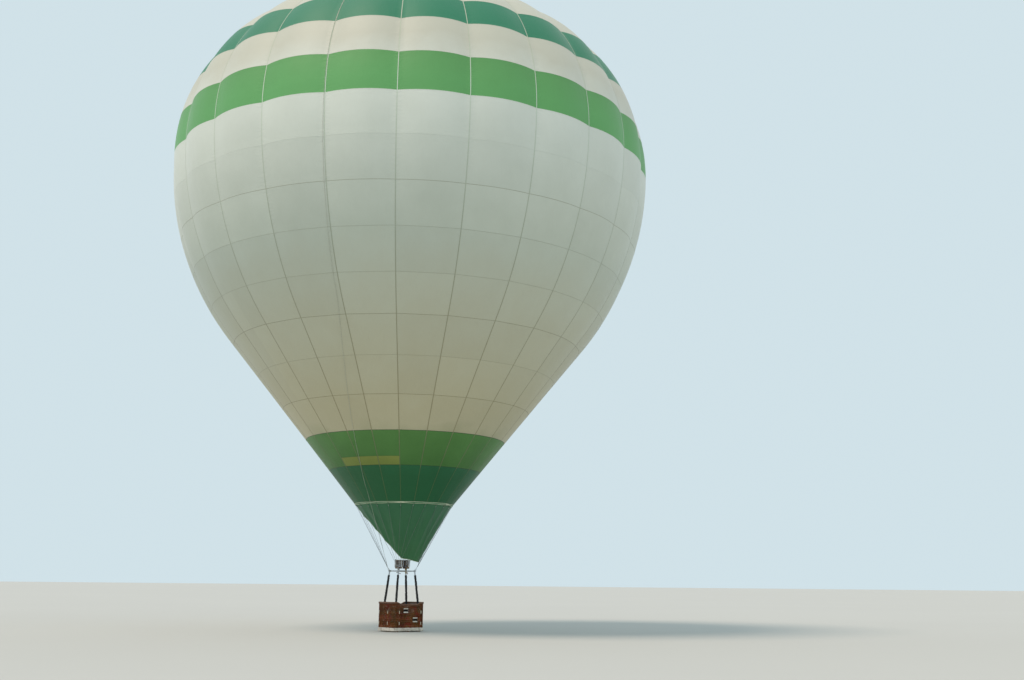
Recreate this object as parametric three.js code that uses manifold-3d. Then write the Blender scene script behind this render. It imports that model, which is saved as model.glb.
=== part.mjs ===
// Hot air balloon, full size, in millimetres, +Z up.
// Heights in this file are measured from the underside of the basket's runners. The whole model is then
// lowered so that its origin lies on the envelope's axis at its widest height.
// The basket's step side faces -Y, its long sides run along X.

import * as THREE from 'three';
import * as BufferGeometryUtils from 'three/addons/utils/BufferGeometryUtils.js';
import Module from 'manifold-3d';

const wasm = await Module();
wasm.setup();

const TAU = 2 * Math.PI;
const DEG = Math.PI / 180;
const GAP = 0.3;

// Driving dimensions of the envelope
const GORES = 24;
const GORE_SEGMENTS = 3;
const FIRST_TAPE = 7.5 * DEG;
const FABRIC = 10;
const EQUATOR_HEIGHT = 17958;
const EQUATOR_RADIUS = 9411;
const LOWER_ARC_RADIUS = 10998;
const CONE_ANGLE = 38.9 * DEG;
const SHOULDER_ARC_RADIUS = 6710;
const SHOULDER_END_ANGLE = 65 * DEG;
const VENT_RADIUS = 2450;
const VENT_PANEL_RADIUS = 2800;
const VENT_PANEL_GAP = 0.4;

// Driving dimensions of the burner and its frame
const FRAME_HEIGHT = 2250;
const FRAME_HALF_X = 375;
const FRAME_HALF_Y = 305;
const FRAME_TUBE = 19;
const RING_HALF_X = 295;
const RING_HALF_Y = 225;
const RING_TUBE = 12;
const PIVOT_PIN = 10;
const BURNER_SPACING = 340;
const COIL_RADIUS = 160;
const COIL_BORE = 138;

// Driving dimensions of the basket
const BASKET_HALF_X = 705;
const BASKET_HALF_Y = 570;
const BASKET_CORNER = 140;
const WICKER = 40;
const BASKET_HEIGHT = 1100;
const RIM_DIP = 75;
const RUNNER_HEIGHT = 35;
const FLOOR_THICKNESS = 20;
const POLE_RADIUS = 14;
const POLE_FOOT = [600, 465];
const CYLINDER_RADIUS = 145;

const finish = (color, roughness, metalness = 0) =>
  new THREE.MeshStandardMaterial({ color, roughness, metalness });

const MATERIALS = {
  cream: finish(0xd8d4c6, 0.75),
  darkGreen: finish(0x2f8563, 0.75),
  lightGreen: finish(0x5da55a, 0.75),
  tape: finish(0xe6e2d4, 0.8),
  scoop: finish(0x2f6b45, 0.85),
  steel: finish(0xb9bcc0, 0.35, 1),
  coil: finish(0x8c7f76, 0.4, 1),
  brass: finish(0xb8923f, 0.4, 1),
  wire: finish(0x8a8d90, 0.5, 1),
  pole: finish(0xded9cc, 0.6),
  cover: finish(0x151618, 0.9),
  wicker: finish(0x7a4a2c, 0.8),
  suede: finish(0x8a5a3c, 0.9),
  hide: finish(0xd2c6b4, 0.8),
  plywood: finish(0xa98356, 0.7),
  hardwood: finish(0x8d6a45, 0.7),
  cylinder: finish(0xc4c6c8, 0.35, 1),
};

const vec = (x, y, z) => new THREE.Vector3(x, y, z);
const range = (count) => Array.from({ length: count }, (_, i) => i);

const model = new THREE.Group();
model.position.z = -EQUATOR_HEIGHT;

function place(name, geometry, material) {
  const mesh = new THREE.Mesh(geometry, material);
  mesh.name = name;
  model.add(mesh);
}

// Bodies made from sections

function signedVolume(positions, triangles) {
  let sum = 0;
  const [a, b, c] = [vec(0, 0, 0), vec(0, 0, 0), vec(0, 0, 0)];
  for (let i = 0; i < triangles.length; i += 3) {
    a.fromArray(positions, 3 * triangles[i]);
    b.fromArray(positions, 3 * triangles[i + 1]);
    c.fromArray(positions, 3 * triangles[i + 2]);
    sum += a.dot(b.clone().cross(c));
  }
  return sum;
}

// Joins equal-sided sections into one closed body: a closed loop of sections, or a run with two end caps.
function loft(sections, { closed = false } = {}) {
  const sides = sections[0].length;
  const positions = sections.flat().flatMap((p) => p.toArray());
  const triangles = [];
  const steps = closed ? sections.length : sections.length - 1;
  for (let i = 0; i < steps; i += 1) {
    const here = i * sides;
    const next = ((i + 1) % sections.length) * sides;
    for (let j = 0; j < sides; j += 1) {
      const k = (j + 1) % sides;
      triangles.push(here + j, here + k, next + k);
      triangles.push(here + j, next + k, next + j);
    }
  }
  if (!closed) {
    const last = (sections.length - 1) * sides;
    for (let j = 1; j < sides - 1; j += 1) {
      triangles.push(0, j + 1, j);
      triangles.push(last, last + j, last + j + 1);
    }
  }
  if (signedVolume(positions, triangles) < 0) triangles.reverse();
  const geometry = new THREE.BufferGeometry();
  geometry.setAttribute('position', new THREE.Float32BufferAttribute(positions, 3));
  geometry.setIndex(triangles);
  return geometry;
}

function frameAlong(from, to) {
  const along = to.clone().sub(from).normalize();
  const helper = Math.abs(along.x) > 0.9 ? vec(0, 1, 0) : vec(1, 0, 0);
  const across = helper.clone().cross(along).normalize();
  return { across, up: along.clone().cross(across) };
}

function circleSection(centre, { across, up }, radius, sides) {
  return range(sides).map((i) => {
    const angle = (TAU * (i + 0.5)) / sides;
    return centre.clone()
      .addScaledVector(across, radius * Math.cos(angle))
      .addScaledVector(up, radius * Math.sin(angle));
  });
}

function rod(from, to, radius, sides = 10) {
  const frame = frameAlong(from, to);
  return loft([circleSection(from, frame, radius, sides), circleSection(to, frame, radius, sides)]);
}

function sleeve(from, to, bore, radius, sides = 10) {
  const frame = frameAlong(from, to);
  const outer = [from, to].map((p) => circleSection(p, frame, radius, sides));
  const inner = [from, to].map((p) => circleSection(p, frame, bore, sides));
  const sections = range(sides).map((i) => [outer[0][i], outer[1][i], inner[1][i], inner[0][i]]);
  return loft(sections, { closed: true });
}

function block(low, high) {
  const corners = (z) => [
    vec(low[0], low[1], z), vec(high[0], low[1], z), vec(high[0], high[1], z), vec(low[0], high[1], z),
  ];
  return loft([corners(low[2]), corners(high[2])]);
}

function lathe(profile, segments) {
  const geometry = new THREE.LatheGeometry(profile.map(([r, z]) => new THREE.Vector2(r, z)), segments);
  geometry.rotateX(Math.PI / 2);
  return geometry;
}

// Joining and cutting

function solid(geometry) {
  const bare = geometry.clone();
  bare.deleteAttribute('normal');
  bare.deleteAttribute('uv');
  const merged = BufferGeometryUtils.mergeVertices(bare, 1e-4);
  return new wasm.Manifold(new wasm.Mesh({
    numProp: 3,
    vertProperties: new Float32Array(merged.attributes.position.array),
    triVerts: new Uint32Array(merged.index.array),
  }));
}

function fromSolid(body) {
  const mesh = body.getMesh();
  const geometry = new THREE.BufferGeometry();
  geometry.setAttribute('position', new THREE.BufferAttribute(mesh.vertProperties, 3));
  geometry.setIndex(new THREE.BufferAttribute(mesh.triVerts, 1));
  return geometry;
}

const join = (geometries) => geometries.map(solid).reduce((sum, part) => sum.add(part));
const cut = (body, geometries) => geometries.reduce((rest, tool) => rest.subtract(solid(tool)), body);

// Envelope

// The envelope's outline: a point for each arc length along it from the equator, upwards positive. Below the
// equator it is an arc that runs on as a straight cone, above it a tight shoulder and then a flat round cap.
const SHOULDER_LENGTH = SHOULDER_ARC_RADIUS * SHOULDER_END_ANGLE;
const LOWER_ARC_LENGTH = LOWER_ARC_RADIUS * CONE_ANGLE;
const SHOULDER_END_RADIUS = EQUATOR_RADIUS - SHOULDER_ARC_RADIUS * (1 - Math.cos(SHOULDER_END_ANGLE));
const CAP_RADIUS = SHOULDER_END_RADIUS / Math.cos(SHOULDER_END_ANGLE);
const CAP_CENTRE = EQUATOR_HEIGHT + (SHOULDER_ARC_RADIUS - CAP_RADIUS) * Math.sin(SHOULDER_END_ANGLE);

function arcPoint(radius, angle) {
  return {
    r: EQUATOR_RADIUS - radius * (1 - Math.cos(angle)),
    z: EQUATOR_HEIGHT + radius * Math.sin(angle),
    slope: angle,
  };
}

function capPoint(slope) {
  return { r: CAP_RADIUS * Math.cos(slope), z: CAP_CENTRE + CAP_RADIUS * Math.sin(slope), slope };
}

function outline(t) {
  if (t > SHOULDER_LENGTH) return capPoint(SHOULDER_END_ANGLE + (t - SHOULDER_LENGTH) / CAP_RADIUS);
  if (t >= 0) return arcPoint(SHOULDER_ARC_RADIUS, t / SHOULDER_ARC_RADIUS);
  if (t > -LOWER_ARC_LENGTH) return arcPoint(LOWER_ARC_RADIUS, t / LOWER_ARC_RADIUS);
  const coneStart = arcPoint(LOWER_ARC_RADIUS, -CONE_ANGLE);
  const down = -LOWER_ARC_LENGTH - t;
  return {
    r: coneStart.r - down * Math.sin(CONE_ANGLE),
    z: coneStart.z - down * Math.cos(CONE_ANGLE),
    slope: -CONE_ANGLE,
  };
}

// How far each gore bulges between its tapes, as a share of the radius, along the outline.
const BULGES = [
  { t: -15600, bulge: 0 },
  { t: -7500, bulge: 0.0045 },
  { t: 0, bulge: 0.015 },
  { t: 4340, bulge: 0.0175 },
  { t: 8500, bulge: 0.016 },
  { t: 10250, bulge: 0 },
];

function bulgeAt(t) {
  const upper = BULGES.findIndex((row) => row.t >= t);
  if (upper < 0) return 0;
  if (upper === 0) return BULGES[0].bulge;
  const [a, b] = [BULGES[upper - 1], BULGES[upper]];
  return a.bulge + ((b.bulge - a.bulge) * (t - a.t)) / (b.t - a.t);
}

const AZIMUTHS = range(GORES * GORE_SEGMENTS).map((i) => ({
  angle: FIRST_TAPE + (TAU * i) / (GORES * GORE_SEGMENTS),
  // 0 on a tape, 1 in the middle of a gore
  crown: 1 - (2 * ((i % GORE_SEGMENTS) / GORE_SEGMENTS) - 1) ** 2,
}));

// A point of the fabric at an outline point, sunk inwards by a depth.
function fabricPoint(spot, { angle, crown }, bulge, depth) {
  const out = bulge * spot.r * crown - depth;
  const r = spot.r + out * Math.cos(spot.slope);
  return vec(r * Math.cos(angle), r * Math.sin(angle), spot.z + out * Math.sin(spot.slope));
}

function shellBand(spots, bulges) {
  const sections = AZIMUTHS.map((azimuth) => {
    const side = (depth) => spots.map((spot, i) => fabricPoint(spot, azimuth, bulges[i], depth));
    return [...side(0), ...side(FABRIC).reverse()];
  });
  return loft(sections, { closed: true });
}

function fabricBand(stations) {
  const ends = stations.map((t, i) => {
    if (i === 0) return t + GAP / 2;
    return i === stations.length - 1 ? t - GAP / 2 : t;
  });
  return shellBand(ends.map(outline), stations.map(bulgeAt));
}

const ventSlope = Math.acos(VENT_RADIUS / CAP_RADIUS);
const lapSlope = Math.acos(VENT_PANEL_RADIUS / CAP_RADIUS);
const stationOf = (slope) => SHOULDER_LENGTH + (slope - SHOULDER_END_ANGLE) * CAP_RADIUS;
const VENT_EDGE = stationOf(ventSlope);
const VENT_LAP = stationOf(lapSlope);
const HEM_TOP = -15520;
const HEM_BOTTOM = -15600;

// Each band of panels: its name, its colour, and the arc lengths of its lower edge, rows and upper edge.
const BANDS = [
  { name: 'envelope_crown', colour: 'cream', rows: [5900, SHOULDER_LENGTH, 8900, VENT_LAP, VENT_EDGE] },
  { name: 'envelope_crown_shoulder', colour: 'cream', rows: [4340, 5900] },
  { name: 'envelope_upper_dark_band', colour: 'darkGreen', rows: [2880, 4340] },
  { name: 'envelope_upper_cream_band', colour: 'cream', rows: [1340, 2880] },
  { name: 'envelope_upper_light_band', colour: 'lightGreen', rows: [-120, 1340] },
  { name: 'envelope_shoulder', colour: 'cream', rows: [-3130, -1620, -120] },
  { name: 'envelope_belly', colour: 'cream', rows: [-6220, -4650, -3130] },
  { name: 'envelope_flank', colour: 'cream', rows: [-9350, -7760, -6220] },
  { name: 'envelope_cone', colour: 'cream', rows: [-12410, -9350] },
  { name: 'envelope_lower_light_band', colour: 'lightGreen', rows: [-13910, -12410] },
  { name: 'envelope_lower_dark_band', colour: 'darkGreen', rows: [HEM_TOP, -13910] },
  { name: 'mouth_hem', colour: 'tape', rows: [HEM_BOTTOM, HEM_TOP] },
];

for (const { name, colour, rows } of BANDS) place(name, fabricBand(rows), MATERIALS[colour]);

// Crown

const topPoint = (slope, angle, lift) => {
  const r = (CAP_RADIUS + lift) * Math.cos(slope);
  return vec(r * Math.cos(angle), r * Math.sin(angle), CAP_CENTRE + (CAP_RADIUS + lift) * Math.sin(slope));
};
const slopeAtRadius = (radius) => Math.acos(radius / CAP_RADIUS);

// The parachute panel lies under the vent's edge: a thin round cap, closed over the middle.
const VENT_PANEL_RINGS = [VENT_PANEL_RADIUS, VENT_RADIUS, 1300];

function ventPanel() {
  const positions = [];
  const triangles = [];
  const count = AZIMUTHS.length;
  const sheet = (depth) => {
    const start = positions.length / 3;
    for (const radius of VENT_PANEL_RINGS) {
      const slope = slopeAtRadius(radius);
      for (const { angle } of AZIMUTHS) positions.push(...topPoint(slope, angle, -depth).toArray());
    }
    positions.push(0, 0, CAP_CENTRE + CAP_RADIUS - depth);
    return start;
  };
  const top = sheet(FABRIC + VENT_PANEL_GAP);
  const under = sheet(2 * FABRIC + VENT_PANEL_GAP);
  const last = VENT_PANEL_RINGS.length - 1;
  for (let i = 0; i < count; i += 1) {
    const k = (i + 1) % count;
    for (let ring = 0; ring < last; ring += 1) {
      const [a, b] = [top + ring * count, top + (ring + 1) * count];
      triangles.push(a + i, a + k, b + k, a + i, b + k, b + i);
      const [c, d] = [under + ring * count, under + (ring + 1) * count];
      triangles.push(c + i, d + k, c + k, c + i, d + i, d + k);
    }
    const [a, c] = [top + last * count, under + last * count];
    triangles.push(a + i, a + k, top + VENT_PANEL_RINGS.length * count);
    triangles.push(c + k, c + i, under + VENT_PANEL_RINGS.length * count);
    triangles.push(under + i, top + k, top + i, under + i, under + k, top + k);
  }
  if (signedVolume(positions, triangles) < 0) triangles.reverse();
  const geometry = new THREE.BufferGeometry();
  geometry.setAttribute('position', new THREE.Float32BufferAttribute(positions, 3));
  geometry.setIndex(triangles);
  return geometry;
}

place('parachute_panel', ventPanel(), MATERIALS.darkGreen);

// The crown tapes run over the vent from its hem to the hub. Hem, tapes and hub are one sewn piece.
const TAPE_HALF_WIDTH = 15;
const TAPE_THICKNESS = 6;
const TAPE_SINK = 1.5;
const HUB_RADII = [100, 170];
const HEM_LAP = 80;
const TAPE_RINGS = [VENT_RADIUS + HEM_LAP / 2, VENT_RADIUS, 1300, 130];

function crownTape(angle) {
  const sections = TAPE_RINGS.map((radius) => {
    const slope = slopeAtRadius(radius);
    const side = vec(-Math.sin(angle), Math.cos(angle), 0).multiplyScalar(TAPE_HALF_WIDTH);
    const lifts = [GAP + TAPE_SINK, GAP + TAPE_THICKNESS - TAPE_SINK];
    const [low, high] = lifts.map((lift) => topPoint(slope, angle, lift));
    return [low.clone().sub(side), low.clone().add(side), high.clone().add(side), high.clone().sub(side)];
  });
  return loft(sections);
}

function crownRingBand(angles, innerRadius, outerRadius, low, high) {
  const slopes = [innerRadius, outerRadius].map(slopeAtRadius);
  return loft(angles.map((angle) => [
    topPoint(slopes[0], angle, low), topPoint(slopes[1], angle, low),
    topPoint(slopes[1], angle, high), topPoint(slopes[0], angle, high),
  ]), { closed: true });
}

const tapeAngles = range(GORES).map((i) => FIRST_TAPE + (TAU * i) / GORES);
const tapeTop = GAP + TAPE_THICKNESS;
place('crown_tapes', fromSolid(join([
  crownRingBand(AZIMUTHS.map(({ angle }) => angle), VENT_RADIUS + 1, VENT_RADIUS + HEM_LAP, GAP, tapeTop),
  crownRingBand(tapeAngles, ...HUB_RADII, GAP, tapeTop),
  ...tapeAngles.map(crownTape),
])), MATERIALS.tape);

// A flat metal ring on the hub, which the crown line and a hoist are tied to.
const RING_SECTION = 18;
const ringBase = CAP_CENTRE + (CAP_RADIUS + tapeTop) * Math.sin(slopeAtRadius(HUB_RADII[0])) + GAP;
place('crown_ring', lathe([
  [HUB_RADII[0] + 5, ringBase], [HUB_RADII[1] - 5, ringBase],
  [HUB_RADII[1] - 5, ringBase + RING_SECTION], [HUB_RADII[0] + 5, ringBase + RING_SECTION],
  [HUB_RADII[0] + 5, ringBase],
], 24), MATERIALS.steel);

// Scoop: a cone of cloth that hangs inside the mouth's hem, cut away by a sloping plane on the side where the
// wind enters. Opposite the opening its lower edge spreads out and hangs lower, towards the corner it is tied to.
const SCOOP_TOP = outline(HEM_TOP - 25);
const SCOOP_NECK = outline(HEM_BOTTOM - 10);
const SCOOP_BOTTOM = { r: 420, z: 2720 };
const SCOOP_SPREAD = { r: 200, z: -130 };
const SCOOP_DEPTH = FABRIC + 3 * GAP;
const SCOOP_OPEN_TOWARDS = 141 * DEG;
const SCOOP_SHORTEST = 0.06;

// The share of its full length that a column has: the cut reaches the lower edge a quarter turn from the opening.
function scoopLength(angle) {
  const facing = Math.max(Math.cos(angle - SCOOP_OPEN_TOWARDS), 0);
  const narrowing = 1 - SCOOP_BOTTOM.r / SCOOP_NECK.r;
  return SCOOP_SHORTEST + ((1 - SCOOP_SHORTEST) * (1 - facing)) / (1 - narrowing * facing);
}

function scoopFoot(angle, inwards) {
  const spread = Math.min(Math.cos(angle - SCOOP_OPEN_TOWARDS), 0) ** 2;
  const r = SCOOP_BOTTOM.r + SCOOP_SPREAD.r * spread - inwards;
  return vec(r * Math.cos(angle), r * Math.sin(angle), SCOOP_BOTTOM.z + SCOOP_SPREAD.z * spread);
}

function scoop() {
  const columns = AZIMUTHS.filter((azimuth, i) => i % 2 === 0);
  return loft(columns.map((azimuth) => {
    const side = (depth) => {
      const neck = fabricPoint(SCOOP_NECK, azimuth, 0, depth);
      const foot = scoopFoot(azimuth.angle, depth - SCOOP_DEPTH);
      return [fabricPoint(SCOOP_TOP, azimuth, 0, depth), neck, neck.clone().lerp(foot, scoopLength(azimuth.angle))];
    };
    return [...side(SCOOP_DEPTH), ...side(SCOOP_DEPTH + FABRIC).reverse()];
  }), { closed: true });
}

place('scoop', scoop(), MATERIALS.scoop);

// Burner frame

const CORNERS = [
  { name: 'front_left', x: -1, y: -1 },
  { name: 'front_right', x: 1, y: -1 },
  { name: 'rear_right', x: 1, y: 1 },
  { name: 'rear_left', x: -1, y: 1 },
];

const FLOOR_TOP = RUNNER_HEIGHT + GAP + FLOOR_THICKNESS;
const SOCKET_LENGTH = 150;
const SOCKET_RADIUS = 24;
const CORNER_BLOCK = 32;
const LUG_HEIGHT = 105;
const LUG_THICKNESS = 12;
const LUG_HALF_WIDTH = 28;
const LUG_HOLE = 18;
const KARABINER_ROD = 6;

const frameCorner = ({ x, y }) => vec(x * FRAME_HALF_X, y * FRAME_HALF_Y, FRAME_HEIGHT);
const poleFoot = ({ x, y }) => vec(x * POLE_FOOT[0], y * POLE_FOOT[1], FLOOR_TOP);
const poleDown = (corner) => poleFoot(corner).sub(frameCorner(corner)).normalize();
const onPole = (corner, distance) => frameCorner(corner).addScaledVector(poleDown(corner), distance);
const distanceAtHeight = (corner, z) => (z - FRAME_HEIGHT) / poleDown(corner).z;

// Each corner's lug leans outwards in the plane through the corner and the axis, along its wires' pull.
const LUG_LEAN = 31 * DEG;

function lugFrame(corner) {
  const outward = vec(corner.x * FRAME_HALF_X, corner.y * FRAME_HALF_Y, 0).normalize();
  const along = outward.clone().multiplyScalar(Math.sin(LUG_LEAN)).add(vec(0, 0, Math.cos(LUG_LEAN)));
  const across = outward.clone().multiplyScalar(Math.cos(LUG_LEAN)).add(vec(0, 0, -Math.sin(LUG_LEAN)));
  return { along, across };
}

function lug(corner) {
  const { along, across } = lugFrame(corner);
  const shape = new THREE.Shape();
  shape.moveTo(-LUG_HALF_WIDTH, 0);
  shape.lineTo(LUG_HALF_WIDTH, 0);
  shape.lineTo(LUG_HALF_WIDTH, LUG_HEIGHT - LUG_HALF_WIDTH);
  shape.absarc(0, LUG_HEIGHT - LUG_HALF_WIDTH, LUG_HALF_WIDTH, 0, Math.PI);
  shape.closePath();
  const hole = new THREE.Path();
  hole.absarc(0, LUG_HEIGHT - LUG_HALF_WIDTH, LUG_HOLE, 0, TAU);
  shape.holes.push(hole);
  const plate = new THREE.ExtrudeGeometry(shape, { depth: LUG_THICKNESS, bevelEnabled: false, curveSegments: 6 });
  plate.translate(0, 0, -LUG_THICKNESS / 2);
  // plate x runs across the lug, y along it and z through its thickness
  const turn = new THREE.Matrix4().makeBasis(across, along, across.clone().cross(along));
  plate.applyMatrix4(turn.setPosition(frameCorner(corner)));
  return plate;
}

function burnerFrame() {
  const at = CORNERS.map(frameCorner);
  const rails = at.map((corner, i) => rod(corner, at[(i + 1) % 4], FRAME_TUBE, 8));
  const blocks = at.map((p) => block(
    [p.x - CORNER_BLOCK, p.y - CORNER_BLOCK, p.z - CORNER_BLOCK],
    [p.x + CORNER_BLOCK, p.y + CORNER_BLOCK, p.z + CORNER_BLOCK],
  ));
  const sockets = CORNERS.map((corner) => rod(onPole(corner, 0), onPole(corner, SOCKET_LENGTH), SOCKET_RADIUS));
  const bosses = [-1, 1].map((x) => rod(
    vec(x * (FRAME_HALF_X - 34), 0, FRAME_HEIGHT), vec(x * (FRAME_HALF_X + 24), 0, FRAME_HEIGHT), 20, 12,
  ));
  const bores = [-1, 1].map((x) => rod(
    vec(x * (FRAME_HALF_X - 40), 0, FRAME_HEIGHT), vec(x * (FRAME_HALF_X + 12), 0, FRAME_HEIGHT), PIVOT_PIN + 1, 12,
  ));
  const poleBores = CORNERS.map((corner) => rod(
    onPole(corner, 40), onPole(corner, SOCKET_LENGTH + 30), POLE_RADIUS + 0.4,
  ));
  return cut(join([...rails, ...blocks, ...sockets, ...bosses, ...CORNERS.map(lug)]), [...bores, ...poleBores]);
}

place('burner_frame', fromSolid(burnerFrame()), MATERIALS.steel);

// Poles and their padded covers

const COVER_RADIUS = 46;
const COVER_BOTTOM = 960;
const COVER_TOP = SOCKET_LENGTH + 6;
const poleLean = Math.acos(-poleDown(CORNERS[0]).z);
const poleEnd = (frameCorner(CORNERS[0]).z - FLOOR_TOP - GAP - POLE_RADIUS * Math.sin(poleLean))
  / Math.cos(poleLean);

for (const corner of CORNERS) {
  place(`pole_${corner.name}`, rod(onPole(corner, 40.5), onPole(corner, poleEnd), POLE_RADIUS), MATERIALS.pole);
  const coverEnd = distanceAtHeight(corner, COVER_BOTTOM);
  place(
    `pole_cover_${corner.name}`,
    sleeve(onPole(corner, COVER_TOP), onPole(corner, coverEnd), POLE_RADIUS + 0.4, COVER_RADIUS),
    MATERIALS.cover,
  );
}

// Flying wires: six from each corner, gathered on a karabiner that hangs through the corner's lug.

const WIRE_RADIUS = 4;
const WIRE_END_GAP = 0.85;
const WIRE_SPACING = 11;
const WIRE_BAR_RADIUS = 9;
const KARABINER_LENGTH = 130;
const KARABINER_HALF_WIDTH = 30;
const KARABINER_SEAT = 3.2;

function karabiner(corner) {
  const { along, across } = lugFrame(corner);
  const side = across.clone().cross(along);
  const outer = KARABINER_HALF_WIDTH;
  const inner = outer - 2 * KARABINER_ROD;
  const straight = KARABINER_LENGTH - 2 * outer;
  const shape = new THREE.Shape();
  shape.absarc(0, 0, outer, Math.PI, TAU);
  shape.absarc(0, straight, outer, 0, Math.PI);
  shape.closePath();
  const hole = new THREE.Path();
  hole.absarc(0, 0, inner, Math.PI, TAU);
  hole.absarc(0, straight, inner, 0, Math.PI);
  hole.closePath();
  shape.holes.push(hole);
  const loop = new THREE.ExtrudeGeometry(shape, { depth: 2 * KARABINER_ROD, bevelEnabled: false, curveSegments: 5 });
  loop.translate(0, outer - KARABINER_ROD, -KARABINER_ROD);
  const seat = LUG_HEIGHT - LUG_HALF_WIDTH + LUG_HOLE - KARABINER_ROD - KARABINER_SEAT;
  const centre = frameCorner(corner).addScaledVector(along, seat);
  loop.applyMatrix4(new THREE.Matrix4().makeBasis(side, along, side.clone().cross(along)).setPosition(centre));
  const top = centre.clone().addScaledVector(along, KARABINER_LENGTH - 2 * KARABINER_ROD);
  return { loop, top, side };
}

function flyingWires(corner) {
  const { loop, top, side } = karabiner(corner);
  const middle = Math.atan2(corner.y, corner.x);
  const end = outline(HEM_BOTTOM - WIRE_END_GAP);
  const wires = range(6).map((i) => {
    const angle = middle + ((i - 2.5) * TAU) / GORES;
    const atHem = fabricPoint(end, { angle, crown: 0 }, 0, FABRIC / 2);
    return rod(top.clone().addScaledVector(side, (2.5 - i) * WIRE_SPACING), atHem, WIRE_RADIUS, 5);
  });
  const reachOut = side.clone().multiplyScalar(3 * WIRE_SPACING);
  const bar = rod(top.clone().sub(reachOut), top.clone().add(reachOut), WIRE_BAR_RADIUS, 6);
  return join([loop, bar, ...wires]);
}

for (const corner of CORNERS) {
  place(`flying_wires_${corner.name}`, fromSolid(flyingWires(corner)), MATERIALS.wire);
}

// Gimbal ring: turns on two pins along X in the frame's bosses, and carries the burner's pins along Y.

const atFrame = (x, y, z = 0) => vec(x, y, FRAME_HEIGHT + z);

function gimbalRing() {
  const at = CORNERS.map(({ x, y }) => atFrame(x * RING_HALF_X, y * RING_HALF_Y));
  const bars = at.map((corner, i) => rod(corner, at[(i + 1) % 4], RING_TUBE, 8));
  const knuckles = at.map((p) => block(
    [p.x - RING_TUBE, p.y - RING_TUBE, p.z - RING_TUBE], [p.x + RING_TUBE, p.y + RING_TUBE, p.z + RING_TUBE],
  ));
  const pins = [-1, 1].map((x) => rod(atFrame(x * RING_HALF_X, 0), atFrame(x * (FRAME_HALF_X + 8), 0), PIVOT_PIN, 12));
  const bosses = [-1, 1].map((y) => rod(
    atFrame(0, y * (RING_HALF_Y - 14)), atFrame(0, y * (RING_HALF_Y + 20)), 20, 12,
  ));
  const bores = [-1, 1].map((y) => rod(
    atFrame(0, y * (RING_HALF_Y - 20)), atFrame(0, y * (RING_HALF_Y + 12)), PIVOT_PIN + 1, 12,
  ));
  return cut(join([...bars, ...knuckles, ...pins, ...bosses]), bores);
}

place('gimbal_ring', fromSolid(gimbalRing()), MATERIALS.steel);

// Burner: a block on two pins, two risers with a can each, and a coil round each flame.

const CAN_BASE = 90;
const CAN_RADIUS = 130;
const CAN_FLANGE = 50;
const CAN_TOP = 75;
const COIL_HEIGHT = 290;
const COIL_TURNS = 6;
const BLOCK_HALF = [205, 45];
const burnerCentres = [
  { name: 'left', x: -BURNER_SPACING / 2 },
  { name: 'right', x: BURNER_SPACING / 2 },
];

function burnerBlock() {
  const beam = block(
    [-BLOCK_HALF[0], -BLOCK_HALF[1], FRAME_HEIGHT - 30], [BLOCK_HALF[0], BLOCK_HALF[1], FRAME_HEIGHT + 25],
  );
  const pins = rod(atFrame(0, -(RING_HALF_Y + 8)), atFrame(0, RING_HALF_Y + 8), PIVOT_PIN, 12);
  const risers = burnerCentres.map(({ x }) => rod(atFrame(x, 0), atFrame(x, 0, CAN_BASE - GAP), 38, 12));
  const valves = burnerCentres.map(({ x }) => rod(atFrame(x, 0), atFrame(x, 0, -95), 26, 10));
  const levers = burnerCentres.map(({ x }) => rod(atFrame(x, 0, -80), atFrame(x, -150, -105), 9, 8));
  const cocks = burnerCentres.map(({ x }) => rod(atFrame(x, 0, -50), atFrame(x * 1.5, 0, -60), 12, 8));
  return join([beam, pins, ...risers, ...valves, ...levers, ...cocks]);
}

place('burner_block', fromSolid(burnerBlock()), MATERIALS.brass);

for (const { name, x } of burnerCentres) {
  const base = FRAME_HEIGHT + CAN_BASE;
  const can = lathe([
    [0, base], [CAN_RADIUS, base], [CAN_RADIUS, base + CAN_FLANGE], [COIL_RADIUS, base + CAN_FLANGE],
    [COIL_RADIUS, base + CAN_FLANGE + 4], [CAN_RADIUS, base + CAN_FLANGE + 4], [CAN_RADIUS, base + CAN_TOP],
    [CAN_RADIUS - 5, base + CAN_TOP], [CAN_RADIUS - 5, base + 5], [0, base + 5],
  ], 16);
  can.translate(x, 0, 0);
  place(`burner_can_${name}`, can, MATERIALS.steel);

  const coilBase = base + CAN_FLANGE + 4 + GAP;
  const pitch = COIL_HEIGHT / COIL_TURNS;
  const outside = range(COIL_TURNS).flatMap((turn) => [
    [COIL_RADIUS - 9, coilBase + turn * pitch],
    [COIL_RADIUS, coilBase + (turn + 0.5) * pitch],
  ]);
  const coil = lathe([
    [COIL_BORE, coilBase], ...outside, [COIL_RADIUS - 9, coilBase + COIL_HEIGHT],
    [COIL_BORE, coilBase + COIL_HEIGHT], [COIL_BORE, coilBase],
  ], 16);
  coil.translate(x, 0, 0);
  place(`burner_coil_${name}`, coil, MATERIALS.coil);
}

// Basket

// Points round a rounded rectangle, with the outward direction at each.
const CORNER_STEPS = 4;
const LONG_SIDE_STEPS = 6;

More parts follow.
